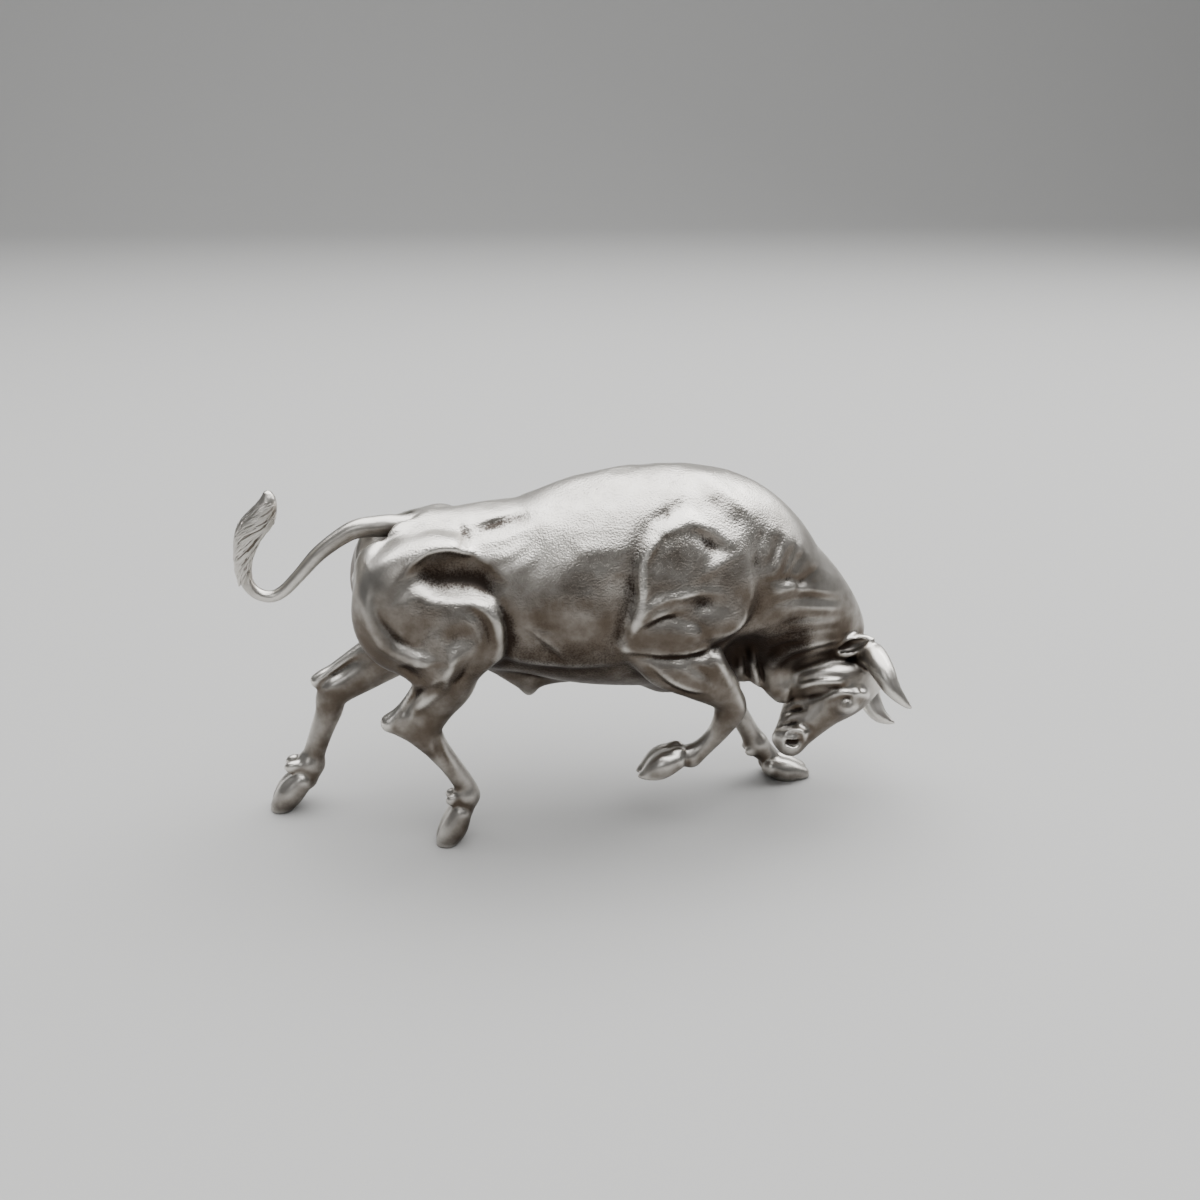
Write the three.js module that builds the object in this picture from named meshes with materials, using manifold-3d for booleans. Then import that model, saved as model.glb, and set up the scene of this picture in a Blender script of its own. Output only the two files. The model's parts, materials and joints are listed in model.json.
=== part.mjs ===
// A small solid cast bull, head down and turned, near foreleg lifted, tail curled up behind.
// Millimetres, +Z up, the head towards +X; the side the viewer sees is -Y ("near").
// The body is sculpted as one closed surface: flesh is added as tapering strands and balls,
// hollows are cut, ridges and furrows are drawn in, and the skin is where the field is zero.

import * as THREE from 'three';
import Module from 'manifold-3d';

// Driving dimensions
const LENGTH = 73.6;
// The height in the sculpt where the soles are cut flat
const SOLE = 0.45;
const CELL = 0.5;
const TRIANGLES = 9400;
const SILVER = 0xb9b6b0;

// The sculpting space: everything below is modelled inside this box
const LOW = [-38.5, -12.5, -1.5];
const HIGH = [39.5, 12.5, 43.0];
const REACH = 2.5;
const CURVE_STEPS = 5;

const NEAR = -1;
const AWAY = 1;
const SIDES = [NEAR, AWAY];
const ACROSS = [0, 1, 0];

// Small vector helpers
const add = (a, b) => a.map((v, i) => v + b[i]);
const sub = (a, b) => a.map((v, i) => v - b[i]);
const times = (a, k) => a.map((v) => v * k);
const dot = (a, b) => a[0] * b[0] + a[1] * b[1] + a[2] * b[2];
const cross = (a, b) => [a[1] * b[2] - a[2] * b[1], a[2] * b[0] - a[0] * b[2], a[0] * b[1] - a[1] * b[0]];
const unit = (a) => times(a, 1 / Math.hypot(...a));
const clamp = (v, low, high) => Math.min(Math.max(v, low), high);

// A frame is an origin and three axes; stations in it are moved to the body's own
const BODY = { origin: [0, 0, 0], axes: [[1, 0, 0], [0, 1, 0], [0, 0, 1]] };
const toBody = ({ origin, axes }, p) => origin.map((o, c) => o + dot(axes.map((a) => a[c]), p));
const inFrame = ({ origin, axes }, p) => axes.map((a) => dot(a, sub(p, origin)));

// The head's frame: from the poll to the muzzle, across to the far side, out of the forehead.
// It is swung towards the near side and rolled.
const TO_MUZZLE = unit([-0.69, -0.24, -0.68]);
const ASIDE = [0.19, 0.8, -0.58];
const TO_FAR = unit(sub(ASIDE, times(TO_MUZZLE, dot(ASIDE, TO_MUZZLE))));
const HEAD = { origin: [32.2, 0.4, 16.6], axes: [TO_MUZZLE, TO_FAR, cross(TO_MUZZLE, TO_FAR)] };
const onHead = (stations) => stations.map((s) => [...toBody(HEAD, s), ...s.slice(3)]);
const headPoint = (s, w, h) => toBody(HEAD, [s, w, h]);

// The field: a distance to the skin at every grid point, negative inside the metal
const count = HIGH.map((h, i) => Math.ceil((h - LOW[i]) / CELL) + 1);
const field = new Float32Array(count[0] * count[1] * count[2]).fill(REACH);
const indexOf = (i, j, k) => (i * count[1] + j) * count[2] + k;

// Calls work(gridIndex, point) for the grid points between two corners
function overBox(low, high, work) {
  const from = low.map((v, i) => clamp(Math.floor((v - LOW[i]) / CELL), 0, count[i]));
  const to = high.map((v, i) => clamp(Math.ceil((v - LOW[i]) / CELL) + 1, 0, count[i]));
  const p = [0, 0, 0];
  for (let i = from[0]; i < to[0]; i++) {
    p[0] = LOW[0] + i * CELL;
    for (let j = from[1]; j < to[1]; j++) {
      p[1] = LOW[1] + j * CELL;
      for (let k = from[2]; k < to[2]; k++) {
        p[2] = LOW[2] + k * CELL;
        work(indexOf(i, j, k), p);
      }
    }
  }
}

// Joins and cuts whose seam is a fillet about `soft` wide
const softMin = (a, b, soft) => {
  const h = Math.max(soft - Math.abs(a - b), 0) / soft;
  return Math.min(a, b) - h * h * soft * 0.25;
};
const softMax = (a, b, soft) => -softMin(-a, -b, soft);
const join = (soft) => (index, d) => {
  field[index] = softMin(field[index], d, soft);
};
const cut = (soft) => (index, d) => {
  field[index] = softMax(field[index], -d, soft);
};

// A smooth curve through hand-placed stations of any number of columns
function smooth(stations) {
  if (stations.length < 3) return stations;
  const n = stations.length;
  const first = sub(times(stations[0], 2), stations[1]);
  const last = sub(times(stations[n - 1], 2), stations[n - 2]);
  const q = [first, ...stations, last];
  const curve = [];
  for (let i = 1; i <= n - 1; i++) {
    const [a, b, c, d] = q.slice(i - 1, i + 3);
    for (let j = 0; j < CURVE_STEPS; j++) {
      const t = j / CURVE_STEPS;
      curve.push(b.map((v, k) => 0.5 * (2 * v + (c[k] - a[k]) * t
        + (2 * a[k] - 5 * v + 4 * c[k] - d[k]) * t * t
        + (3 * v - a[k] - 3 * c[k] + d[k]) * t * t * t)));
    }
  }
  return [...curve, stations[n - 1]];
}

// Distance to an ellipse or ellipsoid, from coordinates over the radii
function roundDistance(coordinates, radii) {
  const k0 = Math.hypot(...coordinates.map((v, i) => v / radii[i]));
  const k1 = Math.hypot(...coordinates.map((v, i) => v / radii[i] ** 2)) + 1e-6;
  return k0 < 0.05 ? -Math.min(...radii) : (k0 * (k0 - 1)) / k1;
}

// Distance from p to one tapering length a-b; stations are x, y, z, radius, width over depth
function coneDistance(p, a, b, side) {
  const ab = [b[0] - a[0], b[1] - a[1], b[2] - a[2]];
  const ap = [p[0] - a[0], p[1] - a[1], p[2] - a[2]];
  const t = clamp(dot(ap, ab) / (dot(ab, ab) + 1e-9), 0, 1);
  const o = [ap[0] - t * ab[0], ap[1] - t * ab[1], ap[2] - t * ab[2]];
  const r = a[3] + (b[3] - a[3]) * t;
  if (!side) return Math.hypot(...o) - r;
  const along = dot(o, side);
  const rest = Math.sqrt(Math.max(dot(o, o) - along * along, 0));
  return roundDistance([along, rest], [r * (a[4] + (b[4] - a[4]) * t), r]);
}

// Runs work(index, distance) near a strand of flesh
function nearStrand(stations, side, margin, work) {
  const path = smooth(stations);
  const distance = new Map();
  for (let i = 0; i + 1 < path.length; i++) {
    const [a, b] = [path[i], path[i + 1]];
    const reach = Math.max(a[3], b[3]) * Math.max(1, a[4] ?? 1) + margin;
    const low = [0, 1, 2].map((c) => Math.min(a[c], b[c]) - reach);
    const high = [0, 1, 2].map((c) => Math.max(a[c], b[c]) + reach);
    overBox(low, high, (index, p) => {
      const d = coneDistance(p, a, b, side);
      if (d < (distance.get(index) ?? Infinity)) distance.set(index, d);
    });
  }
  for (const [index, d] of distance) work(index, d);
}

const strand = (stations, soft, side = null) => nearStrand(stations, side, soft + REACH, join(soft));
const cutStrand = (stations, soft) => nearStrand(stations, null, soft + 0.5, cut(soft));

// Axes of a leaned ball, degrees: pitch lifts its nose, yaw turns it, roll tips its top over
function turned(pitch = 0, yaw = 0, roll = 0) {
  const [p, y, r] = [pitch, yaw, roll].map(THREE.MathUtils.degToRad);
  const matrix = new THREE.Matrix4().makeRotationX(-r);
  matrix.multiply(new THREE.Matrix4().makeRotationY(p));
  matrix.multiply(new THREE.Matrix4().makeRotationZ(-y));
  const e = matrix.elements;
  return [0, 1, 2].map((row) => [e[row], e[row + 4], e[row + 8]]);
}

function nearBall(centre, radii, axes, margin, work) {
  const reach = Math.max(...radii) + margin;
  overBox(centre.map((v) => v - reach), centre.map((v) => v + reach), (index, p) => {
    work(index, roundDistance(inFrame({ origin: centre, axes }, p), radii));
  });
}

function ball(centre, radii, soft, axes = BODY.axes) {
  nearBall(centre, radii, axes, soft + REACH, join(soft));
}

function cutBall(centre, radii, soft, axes = BODY.axes) {
  nearBall(centre, radii, axes, soft + 0.5, cut(soft));
}

// Cuts away what lies beyond a plane, inside a box
function shave(point, normal, low, high, soft) {
  const n = unit(normal);
  overBox(low, high, (index, p) => {
    field[index] = softMax(field[index], dot(sub(p, point), n), soft);
  });
}

// How near (u, v) is to a line of points, how far along it that is, from 0 to 1, and how far to its left
function nearestOnLine(line, u, v) {
  let best = { square: Infinity, along: 0, left: 0 };
  for (let i = 0; i + 1 < line.length; i++) {
    const [a, b] = [line[i], line[i + 1]];
    const [x, y] = [b[0] - a[0], b[1] - a[1]];
    const t = clamp(((u - a[0]) * x + (v - a[1]) * y) / (x * x + y * y + 1e-9), 0, 1);
    const square = (u - a[0] - t * x) ** 2 + (v - a[1] - t * y) ** 2;
    if (square >= best.square) continue;
    const left = ((v - a[1]) * x - (u - a[0]) * y) / Math.hypot(x, y);
    best = { square, along: (i + t) / (line.length - 1), left };
  }
  return best;
}

// A line of relief drawn on side q, from points of the profile; it fades out at both ends
function draw(points, q, width, height, frame, core, stepped) {
  const line = smooth(points);
  const reach = width * 2.6;
  const span = (c) => {
    const values = line.map((p) => p[c]);
    return [Math.min(...values) - reach, Math.max(...values) + reach];
  };
  const across = [0, q * HIGH[1]];
  const corners = span(0).flatMap((a) => across.flatMap((b) => span(1).map((c) => toBody(frame, [a, b, c]))));
  const low = [0, 1, 2].map((c) => Math.min(...corners.map((p) => p[c])));
  const high = [0, 1, 2].map((c) => Math.max(...corners.map((p) => p[c])));
  overBox(low, high, (index, p) => {
    if (Math.abs(field[index]) > REACH - 0.5) return;
    const [a, b, c] = inFrame(frame, p);
    const { square, along, left } = nearestOnLine(line, a, c);
    const fade = Math.sqrt(Math.sin(Math.PI * clamp(along, 0.02, 0.98))) * clamp((b * q - core) / 1.2, 0, 1);
    const side = stepped ? Math.tanh(left / (0.3 * width)) : 1;
    field[index] -= height * fade * side * Math.exp(-square / width ** 2);
  });
}

function ridge(points, q, width, height, frame = BODY, core = 1.5) {
  draw(points, q, width, height, frame, core, false);
}

function furrow(points, q, width, depth, frame = BODY, core = 1.5) {
  draw(points, q, width, -depth, frame, core, false);
}

// A step: raised on the left of the line, seen along it, and sunk on its right
function edge(points, q, width, height, frame = BODY, core = 1.5) {
  draw(points, q, width, height, frame, core, true);
}

// A cloven hoof: two claws side by side, drawn in at the toe, with a dewclaw behind each
function claws(path, spread, toe, soft, dewclaw, size) {
  for (const q of SIDES) {
    const last = path.length - 1;
    strand(path.map(([x, y, z, r], i) => [x, y + q * spread * (i === last ? toe : 1), z, r]), soft);
    ball([dewclaw[0], dewclaw[1] + q * spread, dewclaw[2]], size, 0.4);
  }
}

const moved = (points, dx) => points.map(([x, z]) => [x + dx, z]);

function trunk() {
  // Back and belly from the rump to the neck
  strand([
    [-16.2, 0, 28.6, 8.2, 0.82], [-11, 0, 28.6, 9.0, 0.84], [-5, 0, 28.4, 9.8, 0.9],
    [1, 0, 28.6, 11.55, 0.8], [7, 0, 28.8, 12.4, 0.72], [11.6, 0, 28.6, 12.3, 0.66],
    [15.4, 0, 28.2, 10.4, 0.68], [19.2, 0.1, 26.6, 8.2, 0.74], [22.6, 0.3, 24.4, 7.1, 0.74],
    [25.4, 0.6, 22.45, 5.9, 0.68], [27.3, 0.8, 21, 4.8, 0.66],
  ], 0.5, ACROSS);
  // Brisket and dewlap
  strand([
    [9, 0, 17.8, 2.8, 0.8], [13.4, 0, 17.8, 3.2, 0.6], [17.4, 0, 18.4, 2.9, 0.42],
    [20.4, -0.4, 17.2, 2.2, 0.45], [22.6, -1.2, 14.8, 1.7, 0.6],
  ], 2, ACROSS);
  // Sheath
  strand([[-9.6, 0, 20.2, 1.8], [-7.2, 0, 17.6, 1.2], [-6.3, 0, 16, 0.45]], 1.2);
  strand([[-2.6, 0, 18.4, 1.5], [-5, 0, 17.6, 1.2], [-6.3, 0, 16.1, 0.4]], 1.2);
  // Deep hollow between shoulder, forearm and throat
  for (const q of SIDES) {
    cutBall([16.6, q * 6.6, 20.4], [2.6, 3.6, 3.2], 2.2, turned(-35));
  }
}

function quarters() {
  // Croup, hook bones and pin bones
  ball([-19.2, 0, 32.2], [4.9, 5.2, 4.2], 3);
  for (const q of SIDES) {
    ball([-14.7, q * 5.9, 34.4], [1.9, 1.4, 1.5], 1.6, turned(0, -q * 25));
    ball([-21.9, q * 3.5, 32.4], [1.8, 1.4, 2], 1.4);
  }
  // Haunches and stifles, the far ones further back
  ball([-18, -5.4, 28.4], [6.5, 3.4, 7.4], 2, turned(-14));
  ball([-18.8, 5.4, 28.2], [6.5, 3.4, 7.4], 2, turned(-14));
  ball([-13, -6.6, 26], [3.3, 2.6, 4.7], 1, turned(6));
  ball([-14.2, 6.8, 25.6], [3.6, 2.6, 4.6], 1, turned(-8));
  // Trough that the tail leaves from
  cutStrand([
    [-17.4, 0, 37.2, 0.8], [-19.4, 0, 36.3, 2], [-21.6, 0, 35.2, 2.8], [-24.6, 0, 33.8, 3.2],
  ], 0.8);
}

function shoulders() {
  for (const q of SIDES) {
    // Blade, the muscle before it, upper arm and point of the shoulder
    ball([8.3, q * 6.7, 31.4], [3.5, 2.5, 6], 1.3, turned(-5, 0, q * 9));
    ball([13.2, q * 6.2, 30.4], [2.8, 2.3, 4.4], 1.2, turned(-6, 0, q * 8));
    ball([8.2, q * 7.4, 25.6], [4.5, 2.3, 2.7], 1.1, turned(-4));
    ball([12.8, q * 7, 26.6], [3.2, 2.1, 2.5], 1, turned(10));
    // Ridge from the elbow up
    strand([
      [3.3, q * 7.6, 23.5, 0.85], [4.3, q * 8.2, 25.8, 0.85], [5.9, q * 8.6, 28, 0.8],
      [8.4, q * 8.5, 29.4, 0.6],
    ], 1);
  }
}

function nearHindLeg() {
  strand([
    [-15.8, -6.4, 24, 4.4, 0.66], [-15.4, -6.1, 20.6, 3.2, 0.66], [-16.5, -5.7, 17.4, 2, 0.76],
    [-17.7, -5.5, 14.9, 1.75, 0.72], [-16.9, -5.4, 12.6, 1.4, 0.76], [-15.3, -5.2, 10, 1.15, 0.95],
    [-13.9, -5.1, 7.4, 1.15, 0.95], [-13.7, -5.1, 6.1, 1.4, 0.95],
  ], 1.2, ACROSS);
  // Tendon, hock and pastern
  ball([-18.9, -5.4, 15.5], [2, 1.15, 1.25], 0.8, turned(-30));
  strand([
    [-16.6, -5.9, 20.6, 1.6], [-18.7, -5.7, 18.5, 0.95], [-20.1, -5.5, 16.9, 0.8],
    [-21.5, -5.4, 15.7, 0.8],
  ], 0.6);
  strand([[-21.4, -5.4, 15.4, 0.8], [-19.4, -5.4, 14.3, 0.95], [-17.6, -5.3, 13.2, 1.1]], 0.8);
  strand([[-13.8, -5.1, 6.1, 1.3], [-14.2, -5, 4.4, 1.2]], 0.6);
  claws([
    [-14.4, -5, 4.3, 1.15], [-15.2, -5, 2.5, 1.42], [-16.1, -5, 1, 1.15], [-16.5, -5, 0.35, 0.85],
  ], 0.72, 0.8, 0.25, [-15.2, -5, 5.9], [0.85, 0.5, 0.7]);
}

function farHindLeg() {
  strand([
    [-18.2, 6.4, 24, 4.5, 0.66], [-20.6, 6.1, 20, 3.5, 0.66], [-24, 5.7, 17, 2.3, 0.74],
    [-28, 5.3, 14.6, 1.85, 0.74], [-28.9, 5.1, 12.2, 1.5, 0.78], [-29.9, 5, 9.8, 1.3, 0.92],
    [-30.9, 4.9, 7.2, 1.25, 0.95], [-31.4, 4.9, 5.9, 1.55, 0.95],
  ], 1.2, ACROSS);
  // Tendon, hock and pastern
  ball([-28, 5.3, 15.7], [2, 1.2, 1.3], 0.8, turned(-30));
  strand([
    [-21.5, 5.9, 20.6, 1.7], [-25.6, 5.6, 18.6, 1], [-28, 5.4, 17.1, 0.85], [-29.8, 5.2, 16.1, 0.85],
  ], 0.6);
  strand([[-31.5, 4.9, 5.7, 1.5], [-32.2, 4.8, 4.1, 1.5]], 0.6);
  claws([
    [-32.5, 4.8, 4.1, 1.3], [-33.9, 4.8, 2.6, 1.55], [-35, 4.8, 1.1, 1.25], [-35.4, 4.8, 0.4, 0.9],
  ], 0.78, 0.8, 0.25, [-33.2, 4.8, 5.9], [1.15, 0.6, 0.8]);
}

function nearForeLeg() {
  // Lifted and folded back at the knee
  strand([
    [4.3, -7.8, 23.3, 1, 0.9], [7.6, -7.5, 21.7, 2.6, 0.7], [11.4, -6.9, 20, 2.9, 0.68],
    [14.4, -6.2, 17.3, 2, 0.85], [15.3, -5.9, 15.4, 1.85, 0.8], [14.4, -5.6, 12.8, 1.25, 0.85],
    [12.9, -5.3, 10.7, 1.05, 0.95], [11.3, -5.1, 9.2, 1.25, 0.95],
  ], 0.8, ACROSS);
  ball([12.2, -6.9, 21.6], [2.2, 1.5, 1.5], 0.8, turned(-38));
  strand([[11, -5.1, 9.2, 1.2], [9.5, -5, 9.2, 1.05]], 0.5);
  claws([
    [9.3, -5, 9.2, 1.25], [7.9, -5, 8.6, 1.5], [6.3, -5, 7.4, 0.95], [5.2, -5, 6.9, 0.4],
  ], 0.72, 0.8, 0.2, [9.6, -5, 10.2], [0.8, 0.5, 0.5]);
  shave([7, -5, 7.2], [-0.03, 0, -1], [4, -8, 4], [10.4, -2, 9], 0.1);
}

function farForeLeg() {
  // Reached forward, flat on its sole
  strand([
    [12, 7.2, 22, 3, 0.66], [15.4, 6.2, 16.6, 2.2, 0.8], [17, 5.6, 13.6, 1.9, 0.85],
    [18.4, 5.1, 10.2, 1.3, 0.92], [20.3, 4.8, 6.8, 1.2, 0.92], [21.3, 4.7, 5, 1.45, 0.92],
  ], 1.2, ACROSS);
  strand([[21.4, 4.7, 4.7, 1.35], [22.9, 4.6, 3.2, 1.2]], 0.6);
  claws([
    [23.2, 4.6, 2.1, 1.3], [25, 4.6, 1.4, 1.45], [27, 4.6, 0.8, 0.95],
  ], 0.85, 0.85, 0.25, [20.5, 4.7, 4.3], [0.75, 0.5, 0.6]);
}

function tail() {
  // Out from the croup, down, and up again into a pointed tuft
  strand([
    [-17, 0, 35.2, 1.8], [-19, 0, 35.6, 1.2], [-21.2, 0, 35.7, 1.15], [-23.6, 0, 35.5, 1.02],
    [-25.4, 0, 34.7, 0.92], [-27.9, 0, 32.9, 0.82], [-30.1, 0, 30.6, 0.7], [-31.9, 0, 28.9, 0.66],
    [-33.4, 0, 28.4, 0.64], [-34.9, 0, 29.2, 0.66], [-35.6, 0, 31, 0.75], [-35.4, 0, 33.3, 1],
    [-34.6, 0, 35.5, 1.35], [-33.3, 0, 37.1, 1.3], [-32.5, 0, 38.5, 0.95], [-32.4, 0, 39.4, 0.55],
  ], 0.6);
}

function flanks() {
  for (const q of SIDES) {
    const back = -0.45 - 0.45 * q;
    // Hollow of the flank under the hook bone, with its upper lip and its shallow rear end
    cutBall([-13.6 + back, q * 9.1, 32.3], [4.6, 3, 2.6], 0.9, turned(-13));
    edge(moved([
      [-18.7, 33], [-17.5, 34.1], [-16, 35], [-14.3, 35], [-12.6, 34.3], [-11, 33.4], [-9.7, 32.3],
    ], back), q, 1.3, 0.3);
    furrow(moved([[-16.4, 33.4], [-18, 32.4], [-19.2, 31.2], [-19.1, 30.2]], back), q, 1, 0.25);
    // Thigh: bright front edge over a step, a fine line inside it, and the hollow within
    ridge(moved([
      [-15.4, 30.4], [-14.1, 30.2], [-12.1, 29.9], [-10.8, 28.8], [-10.1, 27.2], [-9.9, 25],
      [-10.4, 22.8], [-11.8, 21.8],
    ], back), q, 0.75, 0.5);
    edge(moved([
      [-11.2, 30.4], [-9.9, 29.2], [-9.2, 27.3], [-9, 25], [-9.5, 22.6], [-10.8, 21.2],
    ], back), q, 1.1, -0.42);
    furrow(moved([[-13.2, 29], [-11.8, 28.4], [-11, 27], [-10.9, 25.2]], back), q, 0.55, 0.14);
    furrow(moved([[-15.4, 25.4], [-13.6, 26.2], [-12, 26.8]], back), q, 1.3, 0.55);
    // Lower thigh and knee
    ridge(moved([[-14.1, 25.1], [-14.7, 23.6], [-15.7, 22.3], [-17.2, 20.9]], back), q, 0.55, 0.35);
    furrow(moved([[-12.9, 23.7], [-13.7, 22], [-14.7, 20.9]], back), q, 0.5, 0.3);
    furrow(moved([[-19.6, 23.6], [-18.6, 22.3], [-17.5, 21.5]], back), q, 0.8, 0.5);
    furrow(moved([[-16.6, 28.4], [-17.2, 26], [-16.8, 23.9]], back), q, 0.8, 0.35);
    // Bands of muscle down the rear of the thigh
    ridge(moved([
      [-23.2, 31.4], [-23.1, 29.3], [-22.5, 27.2], [-21.3, 25.3], [-19.4, 24.1], [-17.4, 23.5],
    ], back), q, 0.7, 0.4);
    edge(moved([
      [-22.2, 31.2], [-22, 29.1], [-21.2, 27.4], [-20, 25.9], [-18.4, 25], [-17.4, 24.6],
    ], back), q, 1, -0.24);
    furrow(moved([[-21.8, 28.6], [-20.7, 26.7], [-19.4, 25.5], [-17.6, 24.9]], back), q, 0.7, 0.2);
    // Edge of the loin: a lens between two rims, and the wrinkles at the hook bone
    ridge([[-12.2, 36.5], [-10, 37], [-7.5, 37.4], [-5.4, 37.9]], q, 0.5, 0.18);
    furrow([[-12.1, 35.9], [-10.2, 36.3], [-8.4, 36.7], [-5.8, 37.5]], q, 0.6, 0.5);
    ridge([[-11.8, 35.2], [-9.2, 35.6], [-7.2, 36.3], [-5.4, 37]], q, 0.5, 0.2);
    furrow([[-13.3, 36.6], [-12.9, 35.8], [-13.2, 34.9]], q, 0.35, 0.26);
    furrow([[-12.6, 36.1], [-12.3, 35.5], [-12.6, 34.8]], q, 0.35, 0.2);
    // Last ribs, fanning up to the loin
    ridge([[-11, 33.9], [-8.8, 34.1], [-7, 35], [-5.4, 36.4]], q, 0.6, 0.16);
    ridge([[-8.8, 32.6], [-7, 33.4], [-5.4, 34.7], [-4, 36.4]], q, 0.6, 0.14);
    // Fold of the flank, and the edges of the belly
    edge([[-7.4, 27], [-5.7, 25.6], [-3.9, 23.9], [-3, 22.6]], q, 0.9, 0.16);
    furrow([[-8.6, 27.8], [-6.4, 27.3], [-4.5, 26.7], [-1.4, 26.2]], q, 0.8, 0.2);
    edge([[-9.4, 22.8], [-7.1, 22.2], [-4.4, 21.8], [-1.2, 21.6], [2.4, 21.9]], q, 1.3, 0.4, BODY, 3);
    // Hollow behind the elbow
    furrow([[2.7, 32.6], [2.5, 29.6], [2.4, 26.6], [2, 24.2]], q, 1.4, 0.5);
    // Groove beside the root of the tail
    furrow([[-17.8, 36.5], [-19.6, 35.6], [-21.2, 34.6], [-22.6, 33.3]], q, 0.6, 0.35, BODY, 1.2);
  }
}

function shoulderRelief() {
  for (const q of SIDES) {
    // Rear edge of the shoulder, from the elbow up over the blade
    ball([3.4, q * 7.9, 24.1], [0.9, 0.9, 1], 0.6);
    ridge([
      [3.2, 24.2], [4, 26.6], [4.8, 29], [5.1, 31.4], [5.2, 33.5], [6.1, 35.3], [7.4, 36.4],
      [9.2, 36.7], [10.6, 36],
    ], q, 0.55, 0.3);
    edge([
      [3, 26], [3.8, 28], [4.3, 29.8], [4.2, 31.6], [4.4, 33.5], [5.2, 35.3], [6.3, 36.6],
    ], q, 1.1, -0.36);
    // Top of the blade, and the muscle that meets it
    furrow([[10, 36.3], [11.2, 35.3], [12.2, 34.4], [13.2, 33.8]], q, 0.6, 0.28);
    ridge([[15.2, 33.7], [13.3, 33], [12, 32.3], [10.7, 31.6]], q, 0.6, 0.22);
    furrow([[7.8, 34.4], [8.4, 32.8], [8.8, 31.2]], q, 1.2, 0.22);
    ridge([[7.6, 37.7], [9.2, 37.5], [11.5, 36.6], [13.8, 35.2], [15, 34.2]], q, 0.75, 0.35);
    // Hump and crest
    furrow([[6.2, 37], [7.5, 37.5], [8.6, 37.9], [9.7, 38.5]], q, 0.6, 0.34);
    ridge([[12.3, 40.2], [14.5, 39], [16.1, 37.6], [17.4, 36]], q, 0.7, 0.25, BODY, 0.6);
    furrow([[11.2, 39.4], [12.7, 38.3], [14, 37], [15.6, 35.6]], q, 0.6, 0.12);
    // Front edge of the shoulder, down and back to the forearm
    edge([
      [16.2, 33.4], [16.9, 30.9], [17, 28.8], [16.6, 26.4], [15.1, 24.9], [12.9, 24.5], [11.4, 24.4],
    ], q, 1.7, -0.45);
    furrow([[16.9, 28.4], [16.5, 26.2], [15, 24.8], [12.8, 24.4]], q, 0.55, 0.3);
    // Upper arm: a band from the elbow, the crease under it, a low lobe and the lower edge
    ridge([[4.6, 27.4], [5.6, 28.8], [7.3, 29.7], [10.5, 30], [13.6, 29.6]], q, 0.5, 0.26);
    furrow([[7.6, 28.9], [9.7, 29], [11.8, 28.6], [13.8, 27.8]], q, 0.8, 0.26);
    edge([[4.6, 26.4], [5.7, 27.2], [7, 27.8], [9.4, 28.1]], q, 0.8, 0.24);
    furrow([[4.6, 26.4], [5.7, 27.1], [7, 27.6], [8.6, 27.7]], q, 0.4, 0.12);
    furrow([[8.4, 27.2], [10.3, 26.7], [11.4, 25.4], [11.5, 24]], q, 0.5, 0.2);
    edge([[3.4, 23.7], [5.4, 23.4], [9, 23.1], [12.3, 23.4], [15, 24.2]], q, 0.9, 0.32);
    furrow([[4.8, 23.3], [8.3, 23], [11, 23.1], [13.6, 23.7]], q, 0.45, 0.1);
  }
  // Forearm of the lifted leg
  edge([[6, 21.8], [8, 20], [9.9, 18.9], [11.6, 18.4]], NEAR, 0.6, 0.3);
  ridge([[9.8, 23.1], [11.6, 23.4], [13, 22.4], [13.9, 20.7], [15, 18.4]], NEAR, 0.55, 0.35);
  furrow([[9.7, 22], [11.5, 20.8], [13.2, 18.8]], NEAR, 0.6, 0.3);
}

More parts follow.
